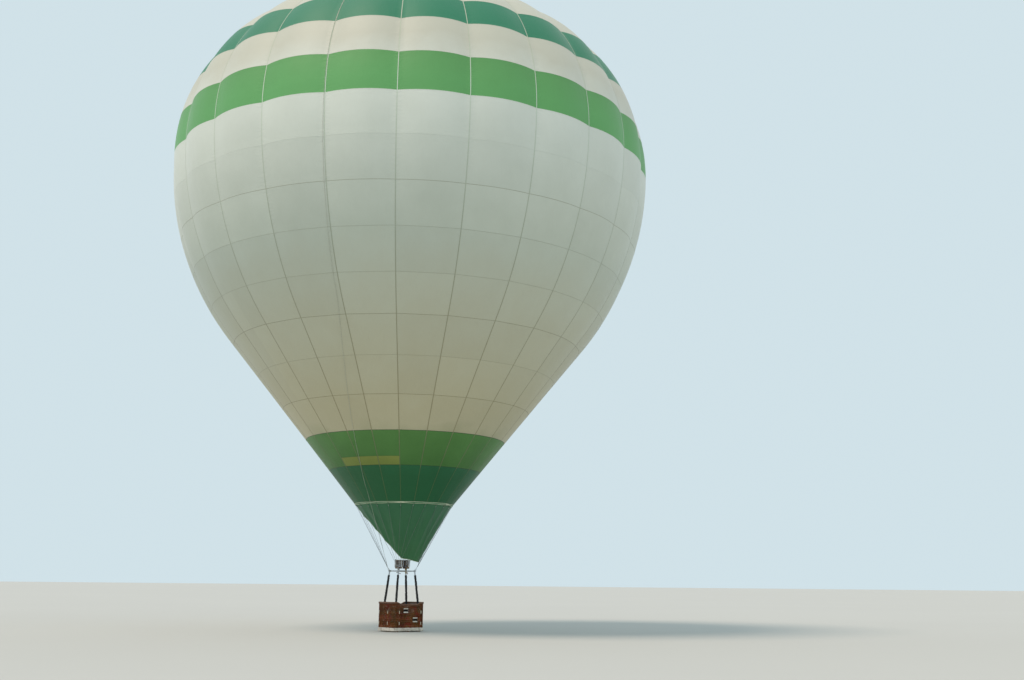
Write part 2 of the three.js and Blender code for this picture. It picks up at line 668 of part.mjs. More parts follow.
function basketPath() {
  const points = [];
  const [cx, cy] = [BASKET_HALF_X - BASKET_CORNER, BASKET_HALF_Y - BASKET_CORNER];
  const sides = [
    { x: 1, y: 1, from: 0, dips: true },
    { x: -1, y: 1, from: 90, dips: false },
    { x: -1, y: -1, from: 180, dips: true },
    { x: 1, y: -1, from: 270, dips: false },
  ];
  for (const { x, y, from, dips } of sides) {
    for (let i = 0; i <= CORNER_STEPS; i += 1) {
      const angle = (from + (90 * i) / CORNER_STEPS) * DEG;
      points.push({
        x: x * cx + BASKET_CORNER * Math.cos(angle),
        y: y * cy + BASKET_CORNER * Math.sin(angle),
        nx: Math.cos(angle),
        ny: Math.sin(angle),
      });
    }
    if (!dips) continue;
    for (let i = 1; i < LONG_SIDE_STEPS; i += 1) {
      points.push({ x: x * (cx - (2 * cx * i) / LONG_SIDE_STEPS), y: y * BASKET_HALF_Y, nx: 0, ny: y });
    }
  }
  return points;
}

const PATH = basketPath();

// The long sides' top edge dips between the corners, so that a person can climb over.
const DIP_START = 560;
const DIP_END = 330;
const dipAt = ({ x, y }) => {
  const onLongSide = Math.abs(y) > BASKET_HALF_Y - 1;
  return onLongSide ? RIM_DIP * (1 - THREE.MathUtils.smoothstep(Math.abs(x), DIP_END, DIP_START)) : 0;
};

// Sweeps a section round the basket: each section point is a distance outwards and a height. Those marked
// to dip follow the top edge.
function aroundBasket(section) {
  return loft(PATH.map((p) => section.map(([out, z, dips]) => vec(
    p.x + p.nx * out, p.y + p.ny * out, z - (dips ? dipAt(p) : 0),
  ))), { closed: true });
}

const RIM_HEIGHT = 62;
const RIM_OUT = 14;
const WALL_TOP = BASKET_HEIGHT - RIM_HEIGHT;
const WALL_BOTTOM = FLOOR_TOP + GAP;
const STEPS = [
  { x: -160, z: 785 },
  { x: 265, z: 440 },
];
const STEP_HALF = [65, 45];

const wall = aroundBasket([[0, WALL_BOTTOM], [0, WALL_TOP, true], [-WICKER, WALL_TOP, true], [-WICKER, WALL_BOTTOM]]);
const stepTools = STEPS.map(({ x, z }) => block(
  [x - STEP_HALF[0], -BASKET_HALF_Y - 20, z - STEP_HALF[1]],
  [x + STEP_HALF[0], -BASKET_HALF_Y + WICKER + 20, z + STEP_HALF[1]],
));
place('basket_wicker', fromSolid(cut(solid(wall), stepTools)), MATERIALS.wicker);

place('basket_rim', aroundBasket([
  [RIM_OUT, WALL_TOP + GAP + 12, true], [RIM_OUT, BASKET_HEIGHT - 14, true], [0, BASKET_HEIGHT, true],
  [-WICKER, BASKET_HEIGHT, true], [-WICKER - RIM_OUT, BASKET_HEIGHT - 14, true],
  [-WICKER - RIM_OUT, WALL_TOP + GAP + 12, true], [-WICKER, WALL_TOP + GAP, true], [0, WALL_TOP + GAP, true],
]), MATERIALS.suede);

const BASE_TRIM = 8;
const BASE_TRIM_TOP = 150;
const BASE_TRIM_BOTTOM = RUNNER_HEIGHT - 5;
place('base_trim', aroundBasket([
  [GAP, BASE_TRIM_BOTTOM], [GAP + BASE_TRIM, BASE_TRIM_BOTTOM], [GAP + BASE_TRIM, BASE_TRIM_TOP], [GAP, BASE_TRIM_TOP],
]), MATERIALS.hide);

const floorShape = new THREE.Shape(PATH.map(({ x, y }) => new THREE.Vector2(x, y)));
const floor = new THREE.ExtrudeGeometry(floorShape, { depth: FLOOR_THICKNESS, bevelEnabled: false });
floor.translate(0, 0, RUNNER_HEIGHT + GAP);
place('basket_floor', floor, MATERIALS.plywood);

const RUNNERS = [
  { name: 'runner_left', x: -500 },
  { name: 'runner_middle', x: 0 },
  { name: 'runner_right', x: 500 },
];
const RUNNER_HALF = [40, BASKET_HALF_Y - 20];
for (const { name, x } of RUNNERS) {
  place(name, block([x - RUNNER_HALF[0], -RUNNER_HALF[1], 0], [x + RUNNER_HALF[0], RUNNER_HALF[1], RUNNER_HEIGHT]),
    MATERIALS.hardwood);
}

// Fuel cylinders: two stand against each short wall. Foot ring, round body and valve guard in one outline.
const CYLINDERS = [
  { name: 'left_front', x: -500, y: -158 },
  { name: 'left_rear', x: -500, y: 158 },
  { name: 'right_front', x: 500, y: -158 },
  { name: 'right_rear', x: 500, y: 158 },
];
const cylinderBase = FLOOR_TOP + GAP;
const cylinderProfile = [
  [0, 0], [110, 0], [110, 35], [CYLINDER_RADIUS, 75], [CYLINDER_RADIUS, 640], [118, 700], [95, 712],
  [95, 790], [85, 790], [85, 716], [28, 722], [28, 775], [0, 775],
];
for (const { name, x, y } of CYLINDERS) {
  const body = lathe(cylinderProfile.map(([r, z]) => [r, cylinderBase + z]), 16);
  body.translate(x, y, 0);
  place(`fuel_cylinder_${name}`, body, MATERIALS.cylinder);
}

export default model;
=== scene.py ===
"""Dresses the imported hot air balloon: fabric, webbing, wire rope, burner, wicker basket, stage and camera.

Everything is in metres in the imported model's frame: the origin is on the envelope's axis at its widest
height, +Z is up and the basket's step side faces -Y.
"""

import math

import bmesh
import bpy
import numpy as np
from mathutils import Matrix, Vector


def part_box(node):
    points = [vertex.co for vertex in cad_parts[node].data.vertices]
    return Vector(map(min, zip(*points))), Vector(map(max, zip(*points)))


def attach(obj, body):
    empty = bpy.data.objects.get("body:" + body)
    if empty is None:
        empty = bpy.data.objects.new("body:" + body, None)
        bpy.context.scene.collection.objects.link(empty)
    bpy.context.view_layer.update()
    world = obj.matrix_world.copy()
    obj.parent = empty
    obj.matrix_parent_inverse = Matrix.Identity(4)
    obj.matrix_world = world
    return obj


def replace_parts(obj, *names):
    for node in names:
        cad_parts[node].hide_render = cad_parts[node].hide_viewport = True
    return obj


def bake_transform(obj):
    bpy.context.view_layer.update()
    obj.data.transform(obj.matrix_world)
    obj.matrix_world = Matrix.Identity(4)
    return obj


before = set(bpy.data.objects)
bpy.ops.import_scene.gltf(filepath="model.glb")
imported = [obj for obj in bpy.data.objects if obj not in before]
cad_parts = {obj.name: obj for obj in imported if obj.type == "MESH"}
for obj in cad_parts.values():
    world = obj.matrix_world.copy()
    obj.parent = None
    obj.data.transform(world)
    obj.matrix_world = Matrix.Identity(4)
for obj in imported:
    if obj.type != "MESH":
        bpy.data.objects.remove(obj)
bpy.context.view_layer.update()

bl_info = {
    "name": "Hot Air Balloon Dressing",
    "version": (1, 0, 0),
    "blender": (4, 5, 0),
    "location": "3D View > Sidebar > Balloon",
    "description": "Builds the visible skin, rigging, burner and basket of a hot air balloon",
    "category": "Object",
}

TAU = 2 * math.pi

# Envelope outline, arc lengths measured along it from the widest height, upwards positive
GORES = 24
GORE_ANGLE = TAU / GORES
FIRST_TAPE = math.radians(7.5)
EQUATOR_RADIUS = 9.411
LOWER_ARC = 10.998
CONE = math.radians(38.9)
SHOULDER_ARC = 6.710
SHOULDER_END = math.radians(65)
SHOULDER_LENGTH = SHOULDER_ARC * SHOULDER_END
LOWER_LENGTH = LOWER_ARC * CONE
CAP_RADIUS = (EQUATOR_RADIUS - SHOULDER_ARC * (1 - math.cos(SHOULDER_END))) / math.cos(SHOULDER_END)
CAP_CENTRE = (SHOULDER_ARC - CAP_RADIUS) * math.sin(SHOULDER_END)
VENT_RADIUS = 2.45
VENT_PANEL_RADIUS = 2.8
PANEL_HEIGHT = 1.52
HEM_TOP = -15.52
HEM_BOTTOM = -15.6
# How far the cloth swells between two tapes, as a share of the radius, at arc lengths
BULGE_AT = [-15.6, -7.5, 0.0, 4.34, 8.5, 10.25]
BULGE = [0.0, 0.0045, 0.015, 0.0175, 0.016, 0.0]


def station(radius):
    """Arc length at which the crown's cap has a radius."""
    return SHOULDER_LENGTH + (math.acos(radius / CAP_RADIUS) - SHOULDER_END) * CAP_RADIUS


VENT_EDGE = station(VENT_RADIUS)
VENT_LAP = station(VENT_PANEL_RADIUS)

# Each band of panels: its node, its cloth, and the arc lengths of its seams, upwards
BANDS = [
    ("envelope_crown", "cream", [5.9, SHOULDER_LENGTH, 8.9, VENT_LAP, VENT_EDGE]),
    ("envelope_crown_shoulder", "cream", [4.34, 5.9]),
    ("envelope_upper_dark_band", "dark_green", [2.88, 4.34]),
    ("envelope_upper_cream_band", "cream", [1.34, 2.88]),
    ("envelope_upper_light_band", "light_green", [-0.12, 1.34]),
    ("envelope_shoulder", "cream", [-3.13, -1.62, -0.12]),
    ("envelope_belly", "cream", [-6.22, -4.65, -3.13]),
    ("envelope_flank", "cream", [-9.35, -7.76, -6.22]),
    ("envelope_cone", "cream", [-12.41, -10.92, -9.35]),
    ("envelope_lower_light_band", "light_green", [-13.91, -12.41]),
    ("envelope_lower_dark_band", "dark_green", [HEM_TOP, -13.91]),
]

# Burner and its frame
FLOOR_LEVEL = -17.958
FRAME_LEVEL = FLOOR_LEVEL + 2.25
FRAME_HALF = (0.375, 0.305)
FRAME_TUBE = 0.019
RING_HALF = (0.295, 0.225)
RING_TUBE = 0.012
BURNER_X = 0.17
CORNERS = {"front_left": (-1, -1), "front_right": (1, -1), "rear_right": (1, 1), "rear_left": (-1, 1)}
LUG_LEAN = math.radians(31)
POLE_FOOT = (0.6, 0.465)
POLE_RADIUS = 0.014
COVER_RADIUS = 0.046

# Basket
BASKET_HALF = (0.705, 0.57)
BASKET_CORNER = 0.14
WALL = 0.04
BASKET_TOP = FLOOR_LEVEL + 1.1
WALL_TOP = FLOOR_LEVEL + 1.038
WALL_BOTTOM = FLOOR_LEVEL + 0.0556
RIM_DIP = 0.075
DIP_START = 0.56
DIP_END = 0.33
# Middle of each step hole, along the wall and in height
STEPS = [(-0.16, FLOOR_LEVEL + 0.785), (0.265, FLOOR_LEVEL + 0.44)]
STEP_HALF = (0.065, 0.045)
CYLINDERS = {
    "left_front": (-0.5, -0.158), "left_rear": (-0.5, 0.158),
    "right_front": (0.5, -0.158), "right_rear": (0.5, 0.158),
}


def paint(code):
    """Linear red, green and blue of a six-digit colour."""
    parts = [int(code[i:i + 2], 16) / 255 for i in (0, 2, 4)]
    return tuple(p / 12.92 if p <= 0.04045 else ((p + 0.055) / 1.055) ** 2.4 for p in parts)


# Shaping

class Form:
    """The points and faces of one piece, gathered from grids, tubes and turned shapes."""

    def __init__(self):
        self.points = []
        self.faces = []
        self.total = 0

    def add(self, points, faces):
        points = np.asarray(points, float).reshape(-1, 3)
        self.points.append(points)
        self.faces.extend([[k + self.total for k in face] for face in faces])
        self.total += len(points)

    def grid(self, points, wrap_rows=False, wrap_columns=False):
        """Faces between neighbouring rows and columns of points."""
        rows, columns = points.shape[:2]
        i, j = np.meshgrid(
            np.arange(rows if wrap_rows else rows - 1),
            np.arange(columns if wrap_columns else columns - 1),
            indexing="ij",
        )
        above, beside = (i + 1) % rows * columns, (j + 1) % columns
        quads = np.stack([i * columns + j, i * columns + beside, above + beside, above + j], -1)
        self.add(points, quads.reshape(-1, 4).tolist())

    def rings(self, rings, closed=False):
        """A skin over rings of points, capped at both ends unless it closes on itself."""
        rings = np.asarray(rings, float)
        start = self.total
        self.grid(rings, wrap_rows=closed, wrap_columns=True)
        if closed:
            return
        count, sides = rings.shape[:2]
        last = start + (count - 1) * sides
        self.faces.append([start + k for k in reversed(range(sides))])
        self.faces.append([last + k for k in range(sides)])

    def tube(self, path, radius, sides, closed=False):
        """A round tube along a path, with one radius or one for each point."""
        path = np.asarray(path, float)
        radii = np.broadcast_to(np.asarray(radius, float), (len(path),))
        across, up = carried_frame(path, closed)
        ring = round_ring(across[:, None], up[:, None], sides, 0.5)
        self.rings(path[:, None] + radii[:, None, None] * ring, closed)

    def strap(self, path, face, width, thickness, closed=False):
        """A flat strap along a path. face is where its broad side looks, one or one for each point."""
        path = np.asarray(path, float)
        along = tangents(path, closed)
        face = np.broadcast_to(np.asarray(face, float), path.shape)
        side = unit(np.cross(along, face))
        face = unit(np.cross(side, along))
        corners = [(-0.5, -0.5), (0.5, -0.5), (0.5, 0.5), (-0.5, 0.5)]
        rings = np.stack([path + side * (a * width) + face * (b * thickness) for a, b in corners], 1)
        self.rings(rings, closed)

    def lathe(self, profile, centre, segments, closed=False):
        """A turned shape round an upright axis from radii and heights."""
        x, y, base = centre
        self.rings([circle((x, y, base + z), radius, segments) for radius, z in profile], closed)

    def turned(self, profile, start, end, segments):
        """A turned shape along the line from start to end: radii at shares of its length."""
        start, end = np.asarray(start, float), np.asarray(end, float)
        across, up = carried_frame(np.array([start, end]))
        ring = round_ring(across[0], up[0], segments)
        self.rings([start + (end - start) * share + radius * ring for share, radius in profile])

    def rod(self, start, end, radius, segments):
        """A plain round rod."""
        self.turned([(0, radius), (1, radius)], start, end, segments)

    def slab(self, low, high, soft):
        """A block with eased edges."""
        low, high = np.asarray(low, float), np.asarray(high, float)
        soft = min(soft, *(0.45 * (high - low)))
        levels = [(low[2], soft), (low[2] + soft, 0), (high[2] - soft, 0), (high[2], soft)]
        rings = [rounded_outline(low[:2] + inset, high[:2] - inset, soft, z) for z, inset in levels]
        self.rings(rings)

    def mesh(self, name):
        mesh = bpy.data.meshes.new(name)
        mesh.from_pydata(np.concatenate(self.points).tolist(), [], self.faces)
        return mesh

    def piece(self, name, finish, body, slot, crease=math.radians(40)):
        """Makes the piece and has it ride on a body."""
        mesh = self.mesh(name)
        face_outwards(mesh)
        return dressed(name, mesh, finish, body, slot, crease)


def face_outwards(mesh):
    work = bmesh.new()
    work.from_mesh(mesh)
    bmesh.ops.recalc_face_normals(work, faces=work.faces)
    work.to_mesh(mesh)
    work.free()


def dressed(name, mesh, finish, body, slot, crease=None):
    """An object of a mesh with its finish, its smooth shading and the body it rides on."""
    mesh.shade_smooth()
    if crease:
        mesh.set_sharp_from_angle(angle=crease)
    mesh.materials.append(finish)
    obj = bpy.data.objects.new(name, mesh)
    bpy.context.scene.collection.objects.link(obj)
    if body:
        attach(obj, body)
    return obj


def thicken(sheet, thickness):
    """Gives a sheet its thickness, on the inner side of its faces."""
    sheet.modifiers.new("thickness", "SOLIDIFY").thickness = thickness


def points_of(mesh):
    points = np.empty(len(mesh.vertices) * 3)
    mesh.vertices.foreach_get("co", points)
    return points.reshape(-1, 3)


def move_points(mesh, points):
    mesh.vertices.foreach_set("co", points.ravel())
    mesh.update()


def turns(count):
    """Angles evenly spaced round a full turn."""
    return TAU * np.arange(count) / count


def polar(angle, radius=1.0, z=0.0):
    """Points at angles round an upright axis, from their distance to it and their height."""
    return np.stack(np.broadcast_arrays(radius * np.cos(angle), radius * np.sin(angle), z), -1)


def circle(centre, radius, count):
    """A level ring of points, at one radius or one for each point."""
    return polar(turns(count), radius) + np.asarray(centre, float)


def round_ring(across, up, sides, shift=0.0):
    """Directions round a rod, from two directions across it."""
    turn = (TAU * (np.arange(sides) + shift) / sides)[:, None]
    return np.cos(turn) * across + np.sin(turn) * up


def barrel(end, middle, ease):
    """The profile of a rod whose ends are eased from one radius to another."""
    return [(0, end), (ease, middle), (1 - ease, middle), (1, end)]


def unit(vectors):
    vectors = np.asarray(vectors, float)
    return vectors / np.maximum(np.linalg.norm(vectors, axis=-1, keepdims=True), 1e-12)


def tangents(path, closed=False):
    if closed:
        return unit(np.roll(path, -1, 0) - np.roll(path, 1, 0))
    return unit(np.gradient(path, axis=0))


def carried_frame(path, closed=False):
    """Two directions across a path at each point, carried along it without twisting."""
    along = tangents(path, closed)
    helper = np.array([0.0, 0.0, 1.0]) if abs(along[0][2]) < 0.9 else np.array([1.0, 0.0, 0.0])
    across = [unit(np.cross(helper, along[0]))]
    for direction in along[1:]:
        across.append(unit(across[-1] - direction * np.dot(across[-1], direction)))
    across = np.array(across)
    return across, np.cross(along, across)


def rounded_outline(low, high, radius, z, steps=3):
    """Points round an upright rectangle with rounded corners at a height."""
    corners = [(high[0], high[1], 0), (low[0], high[1], 90), (low[0], low[1], 180), (high[0], low[1], 270)]
    points = []
    for x, y, start in corners:
        cx = x - radius if start in (0, 270) else x + radius
        cy = y - radius if start in (0, 90) else y + radius
        for k in range(steps + 1):
            angle = math.radians(start + 90 * k / steps)
            points.append((cx + radius * math.cos(angle), cy + radius * math.sin(angle), z))
    return np.array(points)


def even_path(points, count, closed=False):
    """Evenly spaced points along a line of many points."""
    points = np.asarray(points, float)
    if closed:
        points = np.vstack([points, points[:1]])
    reach = np.concatenate([[0], np.cumsum(np.linalg.norm(np.diff(points, axis=0), axis=1))])
    even = np.linspace(0, reach[-1], count, endpoint=not closed)
    return np.stack([np.interp(even, reach, points[:, k]) for k in range(3)], -1)


def smooth_path(points, count):
    """A smooth line through a few points, evenly spaced."""
    points = np.asarray(points, float)
    padded = np.vstack([2 * points[0] - points[1], points, 2 * points[-1] - points[-2]])
    fine = []
    for i in range(len(points) - 1):
        a, b, c, d = padded[i:i + 4]
        for s in np.linspace(0, 1, 24, endpoint=False):
            bend = (2 * a - 5 * b + 4 * c - d) * s ** 2 + (3 * b - a - 3 * c + d) * s ** 3
            fine.append(0.5 * (2 * b + (c - a) * s + bend))
    return even_path(fine + [points[-1]], count)


# Finishes

class Value:
    """A number, colour or vector in a finish, on which sums can be written."""

    def __init__(self, finish, socket):
        self.finish = finish
        self.socket = socket

    def math(self, operation, *others, clamp=False):
        settings = {"operation": operation, "use_clamp": clamp}
        return self.finish.node("ShaderNodeMath", settings, (self, *others))

    def __add__(self, other):
        return self.math("ADD", other)

    __radd__ = __add__

    def __sub__(self, other):
        return self.math("SUBTRACT", other)

    def __rsub__(self, number):
        return self.finish.node("ShaderNodeMath", {"operation": "SUBTRACT"}, (number, self))

    def __mul__(self, other):
        return self.math("MULTIPLY", other)

    def __truediv__(self, other):
        return self.math("DIVIDE", other)

    def clamped(self):
        return self.math("ADD", 0.0, clamp=True)

    def near(self, width):
        """1 where this distance is 0, falling to 0 at a width."""
        return (1 - self.math("ABSOLUTE") / width).clamped()


RIPSTOP = 0.008


class Finish:
    """A surface finish: its material, its shader and the nodes that feed it."""

    def __init__(self, name, **constants):
        self.material = bpy.data.materials.new(name)
        self.material.use_nodes = True
        self.tree = self.material.node_tree
        self.shader = self.tree.nodes["Principled BSDF"]
        for socket, value in constants.items():
            self.plug(self.shader.inputs[socket.replace("_", " ")], value)

    def plug(self, socket, value):
        if isinstance(value, Value):
            self.tree.links.new(value.socket, socket)
        elif socket.type == "RGBA" and len(value) == 3:
            socket.default_value = (*value, 1)
        else:
            socket.default_value = value

    def node(self, kind, settings=None, values=(), output=0):
        """Adds a node: its settings first, then the values or links of its sockets."""
        node = self.tree.nodes.new(kind)
        for key, value in (settings or {}).items():
            if key == "stops":
                self.set_stops(node.color_ramp, value)
            else:
                setattr(node, key, value)
        for key, value in values.items() if isinstance(values, dict) else enumerate(values):
            self.plug(node.inputs[key], value)
        return Value(self, node.outputs[output])

    def set_stops(self, ramp, stops):
        while len(ramp.elements) < len(stops):
            ramp.elements.new(0.5)
        for element, (place, colour) in zip(ramp.elements, stops):
            element.position = place
            element.color = (*colour, 1)

    def place(self):
        return self.node("ShaderNodeTexCoord", output="Object")

    def stretched(self, scale):
        return self.node("ShaderNodeVectorMath", {"operation": "MULTIPLY"}, (self.place(), scale))

    def split(self, vector):
        return [self.node("ShaderNodeSeparateXYZ", values=(vector,), output=axis) for axis in range(3)]

    def noise(self, scale, detail, roughness, vector=None):
        values = {"Vector": vector or self.place(), "Scale": scale, "Detail": detail, "Roughness": roughness}
        return self.node("ShaderNodeTexNoise", values=values)

    def cells(self, scale):
        return self.node("ShaderNodeTexVoronoi", values={"Vector": self.place(), "Scale": scale})

    def wave(self, scale, axis="X", distortion=0.0, vector=None):
        values = {"Vector": vector or self.place(), "Scale": scale, "Distortion": distortion}
        settings = {"wave_type": "BANDS", "bands_direction": axis}
        return self.node("ShaderNodeTexWave", settings, values)

    def ripple(self, distance):
        """Rises and falls once in every unit of a distance."""
        return (distance * TAU).math("SINE")

    def weave(self, pitch):
        """Threads that cross, the upright ones slanting on a face that turns."""
        x, y, z = self.split(self.place())
        return self.ripple(z / pitch) * self.ripple((x + y) / pitch)

    def lay(self, pitch, steepness):
        """Strands that wind round an upright line."""
        x, y, z = self.split(self.place())
        return self.ripple((z * steepness + x + y) / pitch)

    def threads(self, distance):
        """The stronger threads of ripstop cloth, one every few millimetres."""
        return (distance / RIPSTOP).math("FRACT").math("GREATER_THAN", 0.86)

    def attribute(self, name):
        return self.node("ShaderNodeAttribute", {"attribute_name": name}, output="Fac")

    def mix(self, factor, a, b, blend="MIX"):
        settings = {"data_type": "RGBA", "blend_type": blend}
        return self.node("ShaderNodeMix", settings, {0: factor, 6: a, 7: b}, 2)

    def ramp(self, value, stops):
        return self.node("ShaderNodeValToRGB", {"stops": stops}, (value,))

    def spread(self, value, low, high, to_low, to_high):
        """Maps a value's range to another, clamped."""
        return self.node("ShaderNodeMapRange", values=(value, low, high, to_low, to_high))

    def tone(self, colour, amount):
        """A colour made darker or lighter by an amount that varies about 1."""
        grey = self.node("ShaderNodeCombineColor", values=(amount, amount, amount))
        return self.mix(1.0, colour, grey, "MULTIPLY")

    def bump(self, height, distance, strength):
        values = {"Height": height, "Distance": distance, "Strength": strength}
        return self.node("ShaderNodeBump", values=values)

    def set(self, **sockets):
        for socket, value in sockets.items():
            self.plug(self.shader.inputs[socket.replace("_", " ")], value)
        return self.material


finishes = {}


def finish_of(name, maker, *details):
    """Each finish is made once and then shared."""
    if name not in finishes:
        finishes[name] = maker(name, *details)
    return finishes[name]


def gore_marks(finish):
    """Distances to the nearest tape and seam, a chance tone for each panel, and the place in gores."""
    x, y, _ = finish.split(finish.place())
    angle = y.math("ARCTAN2", x)
    gore = angle / GORE_ANGLE - 0.5
    share = gore.math("FRACT")
    radius = (x * x + y * y).math("SQRT")
    tape = share.math("MINIMUM", 1 - share) * GORE_ANGLE * radius
    row = finish.attribute("row")
    seam = (row - row.math("ROUND")).math("ABSOLUTE") * PANEL_HEIGHT
    spot = finish.node("ShaderNodeCombineXYZ", values=(gore.math("FLOOR"), row.math("FLOOR"), 3.0))
    chance = finish.node("ShaderNodeTexWhiteNoise", {"noise_dimensions": "3D"}, (spot,))
    return tape, seam, chance, gore


# Painted shade and stains on the cloth, each a tint and the heights between which it grows: painted shade at
# the top, painted shade down the body, heat browning mixed with painted shade, then soot mixed with painted
# shade
STAINS_AND_SHADE = [
    ((0.79, 0.745, 0.685), 0.4, 2.2),
    ((0.72, 0.745, 0.70), 0.0, -4.65),
    ((0.96, 0.82, 0.64), -4.65, -9.9),
    ((0.53, 0.63, 0.49), -10.5, -12.2),
]


def stained_and_shaded(finish, cloth, height):
    """Cloth darkened by painted shade near its top and down its body, browned by heat mixed with painted shade
    below, and sooty with painted shade near the mouth.
    """
    for tint, start, full in STAINS_AND_SHADE:
        share = finish.spread(height, start, full, 0.0, 1.0)
        cloth = finish.mix(share, cloth, finish.mix(1.0, cloth, tint, "MULTIPLY"))
    return cloth


# Paler panels along the foot of the lower light band: their middle and half, in gores and in height
PALE_PANELS = {"gore": -10.5, "gores_half": 1.5, "height": -11.77, "height_half": 0.152}
PALE_PANEL_COLOUR = (0.47, 0.52, 0.16)


def pale_panels(gore, height):
    """1 on the paler panels, and 1 along the seam that runs over them."""
    beside = (gore - PALE_PANELS["gore"]).math("ABSOLUTE").math("LESS_THAN", PALE_PANELS["gores_half"])
    away = height - PALE_PANELS["height"]
    within = away.math("ABSOLUTE").math("LESS_THAN", PALE_PANELS["height_half"])
    return beside * within, beside * (away - PALE_PANELS["height_half"]).near(0.012)


def balloon_cloth(name, colour, seam_shadow_strength, seam_shadow_colour):
    """Coated ripstop in sewn panels, with puckers, painted shadow along its seams and beside its tapes, and
    painted shade with heat browning and soot down its height. Daylight through it is painted as a faint glow.
    """
    finish = Finish(
        name, Roughness=0.55, Sheen_Weight=0.15, Sheen_Roughness=0.4, Specular_IOR_Level=0.35,
        # painted glow: the cloth faintly gives off its own colour
        Emission_Strength=0.1,
    )
    tape, seam, chance, gore = gore_marks(finish)
    clouds = finish.noise(0.7, 3.0, 0.6)
    streaks = finish.noise(3.0, 4.0, 0.6, finish.stretched((1, 1, 0.15)))
    _, _, z = finish.split(finish.place())
    tone = 0.855 + chance * 0.05 + clouds * 0.05 + streaks * 0.03
    cloth = finish.tone(colour, tone)
    panel, panel_seam = pale_panels(gore, z)
    cloth = finish.mix(panel * 0.7, cloth, PALE_PANEL_COLOUR)
    # painted shadow beside each tape and along each seam
    tape_side_shadow = (tape - 0.019).near(0.008)
    # the painted shadow at the upper seam of the body hardly shows
    faint = (z + 1.61).near(0.6) * 0.9
    lines = (seam.near(0.014) * (1 - faint)).math("MAXIMUM", tape_side_shadow * 0.5) * seam_shadow_strength
    lines = lines.math("MAXIMUM", panel_seam * 0.8)
    # painted shade and stains by height
    base = stained_and_shaded(finish, finish.mix(lines, cloth, seam_shadow_colour), z + clouds * 1.5 - 0.75)
    # puckers run across each seam and fade away from it
    along = finish.noise(9.0, 2.0, 0.5, finish.stretched((0.6, 0.6, 1.6)))
    pucker = along * tape.near(0.35) * 0.8 + along * seam.near(0.22) * 0.5
    wrinkles = finish.noise(1.6, 4.0, 0.62, finish.stretched((1, 1, 0.6)))
    grid = finish.threads(z).math("MAXIMUM", finish.threads(finish.attribute("across")))
    relief = finish.bump(pucker + wrinkles * 0.8 + grid * 0.012, 0.02, 0.8)
    return finish.set(Base_Color=base, Emission_Color=base, Normal=relief)


def webbing(name, pale, dark, low):
    """Woven load tape: pale near the top, darker lower down with painted shadow and painted shade, and green
    near the mouth.
    """
    finish = Finish(name, Roughness=0.75, Sheen_Weight=0.2)
    weave = finish.wave(380.0, "Z")
    tone = 0.93 + finish.noise(4.0, 4.0, 0.6) * 0.12
    # the dark colour is painted shadow along the tape; shade is 1 where the tape is pale
    base = finish.mix(finish.attribute("shade"), dark, pale)
    base = finish.mix(finish.attribute("low"), base, low)
    _, _, z = finish.split(finish.place())
    # painted shade and stains by height
    base = stained_and_shaded(finish, base, z)
    return finish.set(Base_Color=finish.tone(base, tone), Normal=finish.bump(weave, 0.0006, 0.6))


def woven(name, colour):
    """Plain woven webbing or heavy cloth with a visible weave."""
    finish = Finish(name, Roughness=0.8, Sheen_Weight=0.2)
    weave = finish.weave(0.0035) * 0.03
    cloud = finish.noise(5.0, 4.0, 0.6)
    fine = finish.noise(60.0, 2.0, 0.5)
    tone = 0.86 + cloud * 0.2 + fine * 0.08 + weave
    creases = finish.noise(3.5, 4.0, 0.6, finish.stretched((1, 1, 0.5)))
    relief = finish.bump(weave + creases, 0.01, 0.7)
    return finish.set(Base_Color=finish.tone(colour, tone), Normal=relief)


def hem_cloth(name, colour, pale):
    """Heavy green cloth with pale binding along its edges and pale patches of painted light."""
    finish = Finish(name, Roughness=0.75, Sheen_Weight=0.2)
    soil = finish.noise(6.0, 4.0, 0.6)
    base = finish.mix(finish.attribute("pale"), colour, pale)
    creases = finish.noise(9.0, 3.0, 0.6)
    relief = finish.bump(finish.weave(0.003) * 0.03 + creases, 0.008, 0.7)
    return finish.set(Base_Color=finish.tone(base, 0.84 + soil * 0.26), Normal=relief)


def scoop_cloth(name, colour, warm):
    """Matt heat-proof cloth, browned a little where the flame warms it."""
    finish = Finish(name, Roughness=0.8, Sheen_Weight=0.2)
    _, _, z = finish.split(finish.place())
    heat = finish.noise(1.8, 4.0, 0.6)
    low = finish.spread(z, FRAME_LEVEL + 0.4, FRAME_LEVEL + 2.4, 0.35, 0.0)
    base = finish.mix((heat * low).clamped(), colour, warm)
    folds = finish.noise(4.0, 4.0, 0.6, finish.stretched((1, 1, 0.25)))
    thread = finish.noise(420.0, 1.0, 0.5)
    tone = 0.88 + folds * 0.2
    relief = finish.bump(folds + thread * 0.02, 0.02, 0.8)
    return finish.set(Base_Color=finish.tone(base, tone), Normal=relief)


def brushed_metal(name, colour, rough=0.32, grime=(0.1, 0.09, 0.08)):
    """Brushed metal with fine scratches, smears and grime in its hollows."""
    finish = Finish(name, Metallic=1.0)
    scratches = finish.noise(90.0, 3.0, 0.7, finish.stretched((1, 1, 0.08)))
    smears = finish.noise(9.0, 4.0, 0.6)
    dirt = finish.spread(smears, 0.55, 0.85, 0.0, 0.45)
    base = finish.mix(dirt, finish.tone(colour, 0.9 + scratches * 0.2), grime)
    roughness = rough + smears * 0.18 + scratches * 0.1
    return finish.set(Base_Color=base, Roughness=roughness, Normal=finish.bump(scratches, 0.0008, 0.4))


